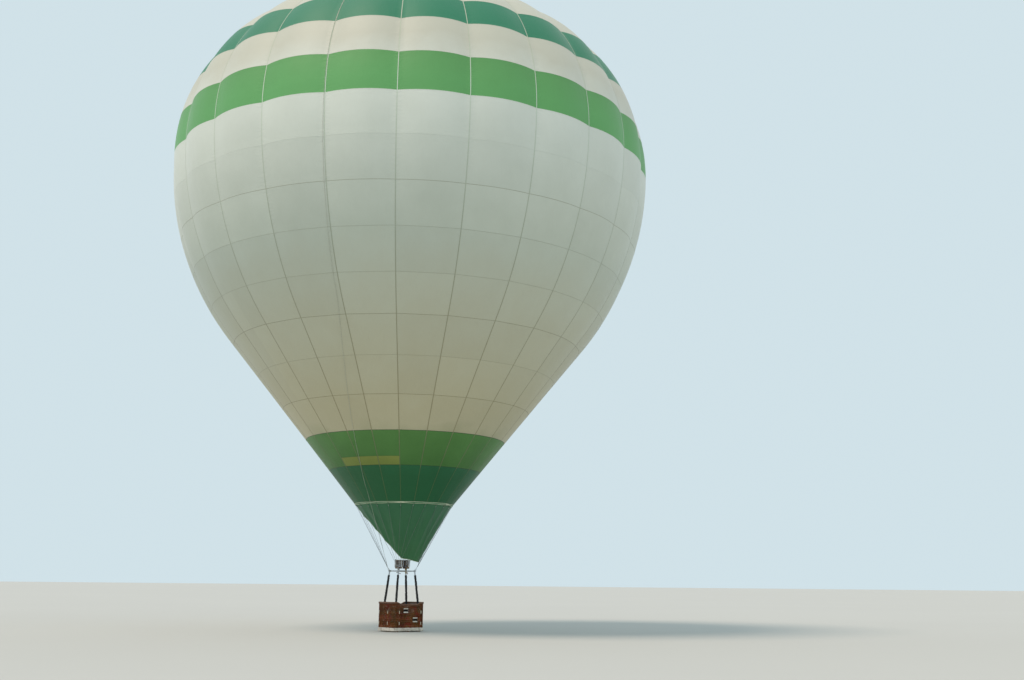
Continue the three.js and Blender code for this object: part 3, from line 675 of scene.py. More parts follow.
def heated_metal(name, colour):
    """Stainless tube tinted by flame, straw to brown to blue, with soot."""
    finish = Finish(name, Metallic=1.0)
    bands = finish.noise(7.0, 3.0, 0.5, finish.stretched((1, 1, 2.5)))
    tint = finish.ramp(bands, [
        (0.3, colour), (0.45, paint("a08a66")), (0.55, paint("75605a")), (0.66, paint("5a6478")),
        (0.8, colour),
    ])
    soot = finish.noise(22.0, 4.0, 0.65)
    base = finish.mix(finish.spread(soot, 0.5, 0.75, 0.0, 0.6), tint, paint("2b2725"))
    return finish.set(Base_Color=base, Roughness=0.3 + soot * 0.35, Normal=finish.bump(soot, 0.001, 0.5))


def wire_rope(name, colour):
    """Stranded wire rope."""
    finish = Finish(name, Metallic=1.0)
    lay = finish.lay(0.012, 2.2)
    dirt = finish.noise(30.0, 3.0, 0.6)
    base = finish.tone(colour, 0.75 + lay * 0.15 + dirt * 0.2)
    return finish.set(Base_Color=base, Roughness=0.35 + dirt * 0.2, Normal=finish.bump(lay, 0.0012, 0.8))


def padded_cover(name, colour, shine):
    """Black leathercloth with a pebbled grain, creases and pale rubbed places."""
    finish = Finish(name, Coat_Roughness=0.5, Specular_IOR_Level=0.4)
    grain = finish.cells(380.0)
    creases = finish.noise(14.0, 4.0, 0.65, finish.stretched((1, 1, 0.5)))
    rub = finish.spread(finish.noise(6.0, 4.0, 0.65), 0.55, 0.8, 0.0, 0.5)
    base = finish.mix(rub, colour, shine)
    relief = finish.bump(creases + grain * 0.12, 0.004, 0.8)
    return finish.set(Base_Color=base, Roughness=0.5 + creases * 0.2, Normal=relief)


# Cane that has gone dull and olive, and cane near the rim painted lighter and warmer as light
FADED_CANE = paint("6a5128")
PAINTED_LIGHT_CANE = paint("96583a")


def cane(name, colour, red, pale):
    """Varnished willow: each rod its own brown, with dark, reddish and bleached stretches, and painted light
    near the rim.
    """
    finish = Finish(name, Coat_Roughness=0.4, Specular_IOR_Level=0.15)
    _, _, z = finish.split(finish.place())
    chance = finish.attribute("rod")
    patches = finish.noise(5.0, 3.0, 0.6)
    fibre = finish.noise(140.0, 3.0, 0.6, finish.stretched((0.35, 0.35, 1)))
    shadows = finish.noise(2.6, 4.0, 0.65)
    # painted light: the cane grows lighter and warmer towards the top of the wall
    high = finish.spread(z, WALL_TOP - 0.34, WALL_TOP - 0.04, 0.0, 0.45)
    blotches = finish.noise(3.1, 3.0, 0.6, finish.stretched((1, 1, 1.7)))
    faded = finish.mix(finish.spread(blotches, 0.5, 0.66, 0.0, 0.75), colour, FADED_CANE)
    brown = finish.mix(high, faded, PAINTED_LIGHT_CANE)
    brown = finish.mix(finish.spread(patches + chance * 0.22, 0.62, 0.74, 0.0, 0.9), brown, red)
    worn = finish.mix(finish.spread(chance + fibre * 0.3, 0.95, 1.25, 0.0, 0.55), brown, pale)
    tone = (0.52 + chance * 0.42 + fibre * 0.3) * finish.spread(shadows, 0.38, 0.6, 0.62, 1.18)
    return finish.set(
        Base_Color=finish.tone(worn, tone),
        Roughness=0.42 + fibre * 0.25,
        Coat_Weight=0.04 + chance * 0.06,
        Normal=finish.bump(fibre, 0.0008, 0.6),
    )


def suede(name, colour, worn):
    """Brown suede over padding: soft nap, darker with handling, paler where it is rubbed."""
    finish = Finish(name, Roughness=0.9, Sheen_Weight=0.2, Sheen_Roughness=0.6, Specular_IOR_Level=0.3)
    nap = finish.noise(260.0, 3.0, 0.7)
    handled = finish.noise(7.0, 4.0, 0.62)
    base = finish.mix(finish.spread(handled, 0.4, 0.75, 0.0, 0.7), colour, worn)
    wrinkles = finish.noise(24.0, 4.0, 0.6, finish.stretched((1, 1, 1.6)))
    relief = finish.bump(wrinkles + nap * 0.2, 0.003, 0.7)
    return finish.set(Base_Color=finish.tone(base, 0.85 + nap * 0.25), Normal=relief)


def raw_hide(name, colour, stain):
    """Pale raw hide, scuffed and soiled by ground and grass."""
    finish = Finish(name, Coat_Roughness=0.45)
    _, _, z = finish.split(finish.place())
    blotch = finish.noise(8.0, 4.0, 0.65)
    scuff = finish.noise(60.0, 4.0, 0.7, finish.stretched((0.3, 0.3, 1)))
    low = finish.spread(z, FLOOR_LEVEL, FLOOR_LEVEL + 0.15, 0.5, 0.0)
    dirt = (finish.spread(blotch, 0.45, 0.75, 0.0, 0.6) + low * blotch).clamped()
    base = finish.mix(dirt, colour, stain)
    return finish.set(
        Base_Color=finish.tone(base, 0.85 + scuff * 0.25),
        Roughness=0.55 + blotch * 0.25,
        Normal=finish.bump(scuff + blotch, 0.002, 0.6),
    )


def timber(name, colour, dark, grain_axis):
    """Oiled wood with long grain and scuffed edges."""
    finish = Finish(name, Coat_Roughness=0.4)
    stretch = [14.0, 14.0, 14.0]
    stretch["XYZ".index(grain_axis)] = 1.2
    vector = finish.stretched(tuple(stretch))
    grain = finish.noise(4.0, 5.0, 0.65, vector)
    rings = finish.wave(2.5, "X" if grain_axis != "X" else "Y", 4.0, vector)
    base = finish.mix((grain * 0.6 + rings * 0.4).clamped(), colour, dark)
    scuffs = finish.noise(30.0, 4.0, 0.7)
    return finish.set(
        Base_Color=finish.tone(base, 0.85 + scuffs * 0.25),
        Roughness=0.5 + grain * 0.25,
        Normal=finish.bump(grain + scuffs * 0.3, 0.0015, 0.6),
    )


def moulded(name, colour, rough):
    """Nylon, rubber or painted parts with a fine mottle and faint scratches."""
    finish = Finish(name, Specular_IOR_Level=0.45)
    mottle = finish.noise(120.0, 3.0, 0.6)
    marks = finish.noise(12.0, 4.0, 0.65)
    return finish.set(
        Base_Color=finish.tone(colour, 0.85 + marks * 0.2 + mottle * 0.06),
        Roughness=rough + marks * 0.2,
        Normal=finish.bump(mottle, 0.0004, 0.4),
    )


def twisted_rope(name, colour):
    """Laid rope: strands wound round each other."""
    finish = Finish(name, Roughness=0.8, Sheen_Weight=0.3)
    lay = finish.lay(0.018, 1.4)
    fuzz = finish.noise(200.0, 2.0, 0.6)
    return finish.set(
        Base_Color=finish.tone(colour, 0.82 + lay * 0.1 + fuzz * 0.15),
        Normal=finish.bump(lay + fuzz * 0.3, 0.002, 0.8),
    )


def floor_paint(name, colour):
    """The pale studio floor, very slightly uneven in tone."""
    finish = Finish(name, Specular_IOR_Level=0.2)
    cloud = finish.noise(0.05, 3.0, 0.5)
    return finish.set(Base_Color=finish.tone(colour, 0.97 + cloud * 0.06), Roughness=0.85 + cloud * 0.1)


# Sizes and colours that a user would change

def colour_choice(label, code, note):
    return bpy.props.FloatVectorProperty(
        name=label, description=note, subtype="COLOR", size=3, min=0.0, max=1.0, default=paint(code),
    )


def length_choice(label, value, note):
    return bpy.props.FloatProperty(name=label, description=note, default=value, min=0.0001, unit="LENGTH")


def strength_choice(label, value, note):
    return bpy.props.FloatProperty(name=label, description=note, default=value, min=0.0)


class BalloonEnvelopeSettings(bpy.types.PropertyGroup):
    cream: colour_choice("Cream", "d6dbd1", "Cloth of the body and the crown")
    dark_green: colour_choice("Dark green", "2a8b6a", "Cloth of the upper and lower dark bands")
    light_green: colour_choice("Light green", "62a461", "Cloth of the upper and lower light bands")
    tape_pale: colour_choice("Pale tape", "cfdccb", "Load tapes above the body")
    # painted shadow: the colour of the tapes and of the darker folded seams over the cream cloth
    tape_shadowed: colour_choice("Tape on cream", "adad9b", "Load tapes where they cross the cream cloth")
    tape_low: colour_choice("Tape near the mouth", "6c9a70", "Load tapes on the lower green bands")
    seam_low: colour_choice("Seams near the mouth", "2f5c3a", "Folded seams of the lower green bands")
    columns: bpy.props.IntProperty(
        name="Columns a gore", description="Faces across each gore", default=12, min=4, max=24,
    )
    row_step: length_choice("Row step", 0.155, "Longest face up the outline")
    cloth_thickness: length_choice("Cloth thickness", 0.003, "Thickness that the cloth is shown with")
    tape_width: length_choice("Tape width", 0.027, "Width of the upright load tapes")
    tape_thickness: length_choice("Tape thickness", 0.0025, "How far a tape stands proud of the cloth")
    seam_width: length_choice("Seam width", 0.018, "Width of the folded seams between panels")


class BalloonRiggingSettings(bpy.types.PropertyGroup):
    wire: length_choice("Wire rope", 0.008, "Diameter of the flying wires")
    crown_line: length_choice("Crown line", 0.009, "Diameter of the line from the crown ring")
    vent_line: length_choice("Vent line", 0.008, "Diameter of the line that opens the vent")
    scoop: colour_choice("Scoop", "2f6b45", "Heat-proof cloth of the scoop")
    hem: colour_choice("Hem binding", "c8cfb2", "Binding and lining of the mouth's hem")
    hem_cloth: colour_choice("Hem cloth", "4a7f58", "Cloth of the mouth's hem")
    vent_line_colour: colour_choice("Vent line colour", "b3312a", "The line that opens the vent")


class BalloonBurnerSettings(bpy.types.PropertyGroup):
    steel: colour_choice("Steel", "b9bcc0", "Frame, gimbal and cans")
    coil: colour_choice("Coil", "9c8f84", "Vaporiser coils before heat tints them")
    brass: colour_choice("Brass", "ab9460", "Burner block and valves")
    coil_tube: length_choice("Coil tube", 0.020, "Diameter of the vaporiser tube")
    cover: colour_choice("Pole covers", "17181a", "Padded leathercloth round the poles")


class BalloonBasketSettings(bpy.types.PropertyGroup):
    cane: colour_choice("Cane", "7d4c20", "Willow of the wall")
    red_cane: colour_choice("Red cane", "8f2c1f", "Reddish stretches of the willow")
    suede: colour_choice("Suede", "69452f", "Padded rim")
    hide: colour_choice("Hide", "e6ded2", "Strip round the foot and trims of the steps")
    stake_pitch: length_choice("Stake pitch", 0.0592, "Distance between the upright stakes")
    weaver: length_choice("Weaver", 0.0118, "Diameter of the woven rods")
    weave_out: length_choice("Weave depth", 0.0108, "How far a rod passes in front of or behind the stakes")


class BalloonStageSettings(bpy.types.PropertyGroup):
    floor: colour_choice("Floor", "c0c0bc", "Pale studio floor")
    sky: colour_choice("Surround", "def0f7", "Even light from all round")
    surround: strength_choice("Surround strength", 0.87, "Strength of the even light")
    key: strength_choice("Key strength", 1.95, "Strength of the soft key light")


# Stage

CAMERA_PLACE = (-24.9613, -37.4079, -16.208)
CAMERA_AZIMUTH = math.radians(51)
CAMERA_PITCH = math.radians(12.14)
CAMERA_ROLL = math.radians(-0.535)
FOCAL_PIXELS = 1140.6
IMAGE_WIDTH = 1024
SENSOR = 36.0
FARTHEST = 5000
FLOOR_EDGES = (0.01, 60.0, 2500.0)
KEY_AZIMUTH = math.radians(180)
KEY_HEIGHT = math.radians(61)
KEY_SOFTNESS = math.radians(20)
KEY_COLOUR = (1.0, 0.82, 0.68)


def camera_turn():
    """The camera's axes: level direction, raised by the pitch, then rolled."""
    level = Vector((math.cos(CAMERA_AZIMUTH), math.sin(CAMERA_AZIMUTH), 0))
    right = Vector((math.sin(CAMERA_AZIMUTH), -math.cos(CAMERA_AZIMUTH), 0))
    ahead = level * math.cos(CAMERA_PITCH) + Vector((0, 0, math.sin(CAMERA_PITCH)))
    up = Vector((0, 0, math.cos(CAMERA_PITCH))) - level * math.sin(CAMERA_PITCH)
    c, s = math.cos(CAMERA_ROLL), math.sin(CAMERA_ROLL)
    rolled_right = right * c - up * s
    rolled_up = right * s + up * c
    return Matrix((rolled_right, rolled_up, -ahead)).transposed()


def key_light(strength):
    """The soft sun on the left."""
    light = bpy.data.lights.new("key", "SUN")
    light.energy = strength
    light.color = KEY_COLOUR
    light.angle = KEY_SOFTNESS
    obj = bpy.data.objects.new("key", light)
    source = Vector(polar(KEY_AZIMUTH, math.cos(KEY_HEIGHT), math.sin(KEY_HEIGHT)))
    obj.rotation_euler = source.to_track_quat("Z", "Y").to_euler()
    bpy.context.scene.collection.objects.link(obj)


class BalloonStage(bpy.types.Operator):
    """Sets the camera, the pale floor and the soft light"""

    bl_idname = "balloon.stage"
    bl_label = "Stage"

    def execute(self, context):
        choice = context.scene.balloon_stage
        camera = bpy.data.cameras.new("camera")
        camera.sensor_width = SENSOR
        camera.lens = SENSOR * FOCAL_PIXELS / IMAGE_WIDTH
        camera.clip_end = FARTHEST
        seen = bpy.data.objects.new("camera", camera)
        seen.matrix_world = Matrix.Translation(CAMERA_PLACE) @ camera_turn().to_4x4()
        context.scene.collection.objects.link(seen)
        context.scene.camera = seen
        context.scene.view_settings.view_transform = "Standard"

        form = Form()
        level = (0, 0, FLOOR_LEVEL - 0.002)
        for edges in zip(FLOOR_EDGES[:-1], FLOOR_EDGES[1:]):
            form.grid(np.array([circle(level, radius, 96) for radius in edges]), wrap_columns=True)
        ground = form.piece("studio_floor", finish_of("floor_paint", floor_paint, choice.floor), None, "")

        world = bpy.data.worlds.new("surround")
        world.use_nodes = True
        background = world.node_tree.nodes["Background"]
        background.inputs["Color"].default_value = (*choice.sky, 1)
        background.inputs["Strength"].default_value = choice.surround
        context.scene.world = world
        key_light(choice.key)
        return {"FINISHED"}


# Envelope

def outline(t):
    """Radius, height and slope of the envelope's outline at arc lengths."""
    t = np.asarray(t, float)
    cap = SHOULDER_END + (t - SHOULDER_LENGTH) / CAP_RADIUS
    side = np.where(t >= 0, t / SHOULDER_ARC, np.maximum(t / LOWER_ARC, -CONE))
    slope = np.where(t > SHOULDER_LENGTH, cap, side)
    arc = np.where(t >= 0, SHOULDER_ARC, LOWER_ARC)
    down = np.maximum(-LOWER_LENGTH - t, 0)
    radius = EQUATOR_RADIUS - arc * (1 - np.cos(slope)) - down * math.sin(CONE)
    height = arc * np.sin(slope) - down * math.cos(CONE)
    radius = np.where(t > SHOULDER_LENGTH, CAP_RADIUS * np.cos(slope), radius)
    height = np.where(t > SHOULDER_LENGTH, CAP_CENTRE + CAP_RADIUS * np.sin(slope), height)
    return radius, height, slope


def cloth(t, gore, lift=0.0):
    """Points of the cloth at arc lengths and gore places. A whole gore number lies on a tape."""
    radius, height, slope = outline(t)
    share = gore - np.floor(gore)
    crown = 1 - (2 * share - 1) ** 2
    out = np.interp(t, BULGE_AT, BULGE) * radius * crown + lift
    return polar(FIRST_TAPE + gore * GORE_ANGLE, radius + out * np.cos(slope), height + out * np.sin(slope))


def stations(seams, step):
    """Arc lengths for rows of points, and each one's place among the seams."""
    lengths, rows = [], []
    for k, (low, high) in enumerate(zip(seams[:-1], seams[1:])):
        count = max(1, math.ceil((high - low) / step))
        lengths.extend(np.linspace(low, high, count, endpoint=False))
        rows.extend(np.linspace(k, k + 1, count, endpoint=False))
    return np.array([*lengths, seams[-1]]), np.array([*rows, len(seams) - 1])


def keep_values(mesh, **values):
    """Stores a number for each point, for the finishes to read."""
    for name, numbers in values.items():
        attribute = mesh.attributes.new(name, "FLOAT", "POINT")
        attribute.data.foreach_set("value", np.asarray(numbers, np.float32).ravel())


def sharpen_ends(mesh):
    """Marks a sheet's free edges sharp, so that its thickness doesn't darken them."""
    work = bmesh.new()
    work.from_mesh(mesh)
    for edge in work.edges:
        edge.smooth = not edge.is_boundary
    work.to_mesh(mesh)
    work.free()


# How much longer a row of panels is than the circle through its tapes
SWOLLEN = 1.006

# How strongly the painted shadow along the seams shows in each cloth, and its colour
SEAM_SHADOWS = {
    "cream": (0.3, paint("8f8f7c")),
    "dark_green": (0.4, paint("2f6f54")),
    "light_green": (0.4, paint("3c7a3d")),
}


def cloth_finish(choice, colour):
    return finish_of(f"cloth_{colour}", balloon_cloth, getattr(choice, colour), *SEAM_SHADOWS[colour])


def cloth_band(name, finish, slot, seams, choice, first_row):
    """One band of sewn panels all round the envelope, as a sheet stretched by the hot air."""
    lengths, rows = stations(seams, choice.row_step)
    columns = GORES * choice.columns
    gore = np.arange(columns) / choice.columns
    t, g = np.meshgrid(lengths, gore, indexing="ij")
    form = Form()
    form.grid(cloth(t, g), wrap_columns=True)
    mesh = form.mesh(name)
    across = (g - np.floor(g)) * outline(t)[0] * GORE_ANGLE
    keep_values(mesh, row=np.broadcast_to(rows[:, None] + first_row, t.shape), across=across)
    band = dressed(name, mesh, finish, "balloon", slot)
    sharpen_ends(mesh)
    thicken(band, choice.cloth_thickness)
    widths = TAU * outline(lengths)[0] * SWOLLEN
    height = seams[-1] - seams[0]
    area = float(((widths[1:] + widths[:-1]) / 2 * np.diff(lengths)).sum())
    max(widths) / 2
    2 * height
    return band


class BalloonEnvelope(bpy.types.Operator):
    """Makes the envelope's bands of gored cloth panels"""

    bl_idname = "balloon.envelope"
    bl_label = "Envelope cloth"

    def execute(self, context):
        choice = context.scene.balloon_envelope
        first_row = 0
        for node, colour, seams in BANDS:
            finish = cloth_finish(choice, colour)
            band = cloth_band(f"{node}_cloth", finish, colour, seams, choice, first_row)
            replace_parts(band, node)
            # the rows are numbered apart, so that each band has its own chance tones
            first_row += len(seams) + 3
        return {"FINISHED"}


def inside(t, spans):
    """1 where arc lengths lie in one of the spans, 0 elsewhere."""
    t = np.asarray(t, float)
    return sum(((t >= low) & (t <= high)).astype(float) for low, high in spans)


# Arc lengths between which the tapes are pale, and those of the green bands near the mouth
PALE_TAPES = [(-0.12, 12.0)]
LOWER_GREENS = [(HEM_BOTTOM, -12.41)]
LOWEST_GREEN = [(HEM_BOTTOM, -13.91)]

# Down the body the tapes grow darker with painted shadow: arc lengths, and how pale they are
TAPE_SHADOW_FADE = ([-9.35, -5.5, -3.13, -0.12], [0.0, 0.2, 0.5, 0.85])

# How pale each seam of the body is, from its arc length: the darker ones are painted shadow along the seam
SEAM_SHADES = {-1.62: 1.0, -3.13: 0.2, -4.65: 0.6, -6.22: 0.6, -7.76: 0.1, -9.35: 0.6, -10.92: 0.0}


class BalloonTapes(bpy.types.Operator):
    """Makes the load tapes down the gore seams and the folded seams between the panels"""

    bl_idname = "balloon.tapes"
    bl_label = "Load tapes and seams"

    def execute(self, context):
        choice = context.scene.balloon_envelope
        seams = [HEM_BOTTOM, *[t for _, _, row in reversed(BANDS) for t in row[1:]]]
        lengths, _ = stations(seams, choice.row_step)
        form = Form()
        for number in range(GORES):
            rings = self.tape_rings(lengths, number, choice)
            form.rings(rings)
        finish = finish_of("load_tape", webbing, choice.tape_pale, choice.tape_shadowed, choice.tape_low)
        tapes = form.piece("load_tapes", finish, "balloon", "tape")
        # a tape takes its shade a little above each seam
        above = lengths + 0.01
        shade = np.maximum(inside(above, PALE_TAPES), np.interp(lengths, *TAPE_SHADOW_FADE))
        low = (inside(above, LOWER_GREENS) + inside(above, LOWEST_GREEN)) / 2
        round_tape = rings.shape[1]
        keep_values(
            tapes.data,
            shade=np.tile(np.repeat(shade, round_tape), GORES),
            low=np.tile(np.repeat(low, round_tape), GORES),
        )
        self.folded_seams(seams[1:-1], choice)
        return {"FINISHED"}

    def folded_seams(self, seams, choice):
        """A flat fold of cloth over each seam between two rows of panels."""
        form = Form()
        gore = np.arange(GORES * choice.columns) / choice.columns
        half = choice.seam_width / 2
        section = [(-half, 0.0002), (-half * 0.8, 0.002), (half * 0.8, 0.002), (half, 0.0002)]
        for t in seams:
            form.rings(np.stack([cloth(t + along, gore, lift) for along, lift in section], 1), closed=True)
        finish = finish_of("folded_seam", webbing, choice.cream, choice.tape_shadowed, choice.seam_low)
        folded = form.piece("panel_seams", finish, "balloon", "cream")
        each = len(gore) * len(section)
        # darker seams are painted shadow along them
        shade = [SEAM_SHADES.get(round(t, 2), 1.0) for t in seams]
        low = inside(seams, LOWER_GREENS)
        keep_values(folded.data, shade=np.repeat(shade, each), low=np.repeat(low, each))

    def tape_rings(self, lengths, number, choice):
        """A tape's cross-section at each arc length. It lies in the valley between two gores."""
        middle = cloth(lengths, np.full_like(lengths, number))
        _, _, slope = outline(lengths)
        outward = polar(FIRST_TAPE + number * GORE_ANGLE, np.cos(slope), np.sin(slope))
        column = 1 / choice.columns
        left = cloth(lengths, np.full_like(lengths, number - column))
        right = cloth(lengths, np.full_like(lengths, number + column))
        ring = []
        half = choice.tape_width / 2
        for lift in (0.0006, choice.tape_thickness):
            row = []
            for side, share in ((left, 1.0), (left, 0.5), (middle, 0.0), (right, 0.5), (right, 1.0)):
                reach = np.linalg.norm(side - middle, axis=-1, keepdims=True)
                step = (side - middle) / np.maximum(reach, 1e-9) * np.minimum(half * share, reach)
                row.append(middle + step + outward * lift)
            ring.extend(row if lift < 0.001 else reversed(row))
        return np.stack(ring, 1)


# Crown

TAPE_ANGLES = FIRST_TAPE + turns(GORES)
LINE_KNOT = (0.0, 0.0, 2.6)
LINE_RADIUS = 0.002
CENTRING_RADIUS = 2.72
CENTRING_FOOT = 8.2
CROWN_RING = [
    (0.108, 0.0), (0.105, 0.004), (0.105, 0.014), (0.109, 0.018),
    (0.161, 0.018), (0.165, 0.014), (0.165, 0.004), (0.162, 0.0),
]


def cap_point(radius, angle, lift=0.0):
    """A point over the crown's cap at a distance from the axis."""
    slope = math.acos(min(radius / CAP_RADIUS, 1.0))
    reach = CAP_RADIUS + lift
    return polar(angle, reach * math.cos(slope), CAP_CENTRE + reach * math.sin(slope))


class BalloonCrown(bpy.types.Operator):
    """Makes the parachute panel, the webbing over it, the crown ring and the lines that work the vent"""

    bl_idname = "balloon.crown"
    bl_label = "Crown and vent"

    def execute(self, context):
        self.panel(context.scene.balloon_envelope)
        self.webbing()
        self.ring()
        self.vent_lines(context.scene.balloon_rigging)
        return {"FINISHED"}

    def panel(self, choice):
        """The vent's cloth swells a little between the crown tapes that hold it."""
        radii = np.concatenate([np.linspace(VENT_PANEL_RADIUS, 2.4, 6), np.linspace(2.3, 0.06, 26)])
        columns = GORES * 8
        gore = np.arange(columns) / 8
        share = gore - np.floor(gore)
        rings = []
        for radius in radii:
            held = math.sin(math.pi * min(max((radius - 0.1) / 2.25, 0), 1)) ** 1.3
            swell = 0.030 * held * (1 - (2 * share - 1) ** 2) - 0.0135
            rings.append([cap_point(radius, FIRST_TAPE + g * GORE_ANGLE, s) for g, s in zip(gore, swell)])
        form = Form()
        form.rings(rings)
        # the cloth is open underneath, so its rim has no cap
        form.faces = form.faces[:-2] + form.faces[-1:]
        mesh = form.mesh("parachute")
        seams = np.interp(radii[::-1], [0.06, 0.9, 1.9, VENT_PANEL_RADIUS], [0, 1, 2, 3])[::-1]
        keep_values(mesh, row=np.repeat(seams + 90, columns), across=np.outer(radii, share * GORE_ANGLE))
        vent = dressed("parachute_cloth", mesh, cloth_finish(choice, "dark_green"), "vent", "dark_green")
        thicken(vent, choice.cloth_thickness)
        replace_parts(vent, "parachute_panel")

    def webbing(self):
        """Tapes over the vent from its hem to the hub, the hem band and the sewn hub."""
        form = Form()
        for angle in TAPE_ANGLES:
            side = polar(angle + math.pi / 2, 0.015)
            rings = []
            for radius in np.linspace(VENT_RADIUS + 0.05, 0.125, 22):
                low, high = cap_point(radius, angle, 0.0022), cap_point(radius, angle, 0.0048)
                rings.append([low - side, low + side, high + side, high - side])
            form.rings(rings)
        for inner, outer, rise in ((VENT_RADIUS + 0.001, VENT_RADIUS + 0.08, 0.0045), (0.1, 0.17, 0.006)):
            middle = (inner + outer) / 2
            low, high = 0.0003, rise + 0.0006
            section = [(inner, low), (inner, rise), (middle, high), (outer, rise), (outer, low)]
            rings = [[cap_point(radius, a, lift) for radius, lift in section] for a in turns(GORES * 12)]
            form.rings(rings, closed=True)
        # rows of stitches where each tape crosses the hem
        half = np.array([0.003, 0.003, 0.0006])
        for angle in TAPE_ANGLES:
            for offset in (-0.009, 0.009):
                for radius in np.linspace(VENT_RADIUS + 0.012, VENT_RADIUS + 0.068, 5):
                    at = cap_point(radius, angle + offset / radius, 0.0058)
                    form.slab(at - half, at + half, 0.0004)
        webs = form.piece("crown_webbing", finish_of("crown_tape", woven, paint("cfc9b6")), "balloon", "tape")
        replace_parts(webs, "crown_tapes")

    def ring(self):
        """The crown ring, with a rivet at each tape."""
        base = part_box("crown_ring")[0].z
        form = Form()
        form.lathe(CROWN_RING, (0, 0, base), 96, closed=True)
        for angle in TAPE_ANGLES:
            at = polar(angle, 0.135, base - 0.001)
            form.turned([(0, 0.005), (0.7, 0.005), (1, 0.0035)], at, at + (0, 0, 0.0195), 10)
        finish = finish_of("ring_steel", brushed_metal, paint("b9bcc0"))
        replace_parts(form.piece("crown_ring_plate", finish, "balloon", "steel"), "crown_ring")

    def vent_lines(self, choice):
        """Lines from the panel's underside gather on a ring; one line runs on down to the burner frame."""
        knot = np.array(LINE_KNOT)
        form = Form()
        for angle in TAPE_ANGLES[::2]:
            form.tube([cap_point(2.1, angle, -0.018), knot], LINE_RADIUS, 6)
        form.tube(circle(knot, 0.03, 24), 0.004, 8, closed=True)
        white = finish_of("line_white", twisted_rope, paint("e4e1d6"))
        form.piece("vent_shroud_lines", white, "vent", "tape")

        form = Form()
        for k in range(1, GORES, 2):
            start = cap_point(CENTRING_RADIUS, TAPE_ANGLES[k], -0.016)
            form.tube(np.linspace(start, cloth(CENTRING_FOOT, k, -0.006), 6), LINE_RADIUS, 6)
        stays = form.piece("vent_centring_lines", white, None, "tape")
        top = float(cap_point(CENTRING_RADIUS, 0)[2])
        foot = float(outline(CENTRING_FOOT)[1])
        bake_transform(stays)

        form = Form()
        end = np.array([FRAME_HALF[0] - 0.02, FRAME_HALF[1] + 0.02, FRAME_LEVEL + 0.03])
        form.tube(np.linspace(knot - (0, 0, 0.03), end, 40), choice.vent_line / 2, 8)
        # three turns round the frame's tube
        turn = TAU * np.arange(60) / 20
        hitch = np.stack([
            FRAME_HALF[0] - 0.05 - 0.012 * turn / TAU,
            FRAME_HALF[1] + (FRAME_TUBE + 0.005) * np.cos(turn),
            FRAME_LEVEL + (FRAME_TUBE + 0.005) * np.sin(turn),
        ], -1)
        form.tube(hitch, 0.004, 8)
        red = finish_of("line_red", twisted_rope, choice.vent_line_colour)
        line = form.piece("vent_pull_line", red, None, "tape")
        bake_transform(line)


# Mouth and scoop

SCOOP_OPEN = math.radians(141)
SCOOP_SHORTEST = 0.06
SCOOP_DEPTH = 0.0109
SCOOP_TOP = HEM_TOP - 0.025
SCOOP_NECK = HEM_BOTTOM - 0.01
SCOOP_BOTTOM = (0.42, FLOOR_LEVEL + 2.72)
SCOOP_SPREAD = (0.20, -0.13)

# Places round the hem painted pale as patches of light: azimuth and spread, in degrees
HEM_LIGHT_PATCHES = [(233, 6), (297, 5), (80, 8), (150, 5), (20, 7)]


def eased(value, low, high):
    share = np.clip((np.asarray(value, float) - low) / (high - low), 0, 1)
    return share * share * (3 - 2 * share)


def inside_outline(t, depth):
    """Radius and height of a place that lies inside the outline by a depth."""
    radius, height, slope = outline(t)
    return radius - depth * np.cos(slope), height - depth * np.sin(slope)


def scoop_point(angle, down):
    """Radius and height at a share of the way to the foot, which spreads opposite the opening."""
    radius, height = inside_outline(SCOOP_NECK, SCOOP_DEPTH)
    spread = np.minimum(np.cos(angle - SCOOP_OPEN), 0) ** 2
    r = radius + (SCOOP_BOTTOM[0] + SCOOP_SPREAD[0] * spread - radius) * down
    z = height + (SCOOP_BOTTOM[1] + SCOOP_SPREAD[1] * spread - height) * down
    return r, z


def scoop_reach(angle):
    """The share of its full length that the cloth has: a sloping cut on the side where the wind enters."""
    facing = np.maximum(np.cos(angle - SCOOP_OPEN), 0)
    narrowing = 1 - SCOOP_BOTTOM[0] / float(outline(SCOOP_NECK)[0])
    return SCOOP_SHORTEST + (1 - SCOOP_SHORTEST) * (1 - facing) / (1 - narrowing * facing)


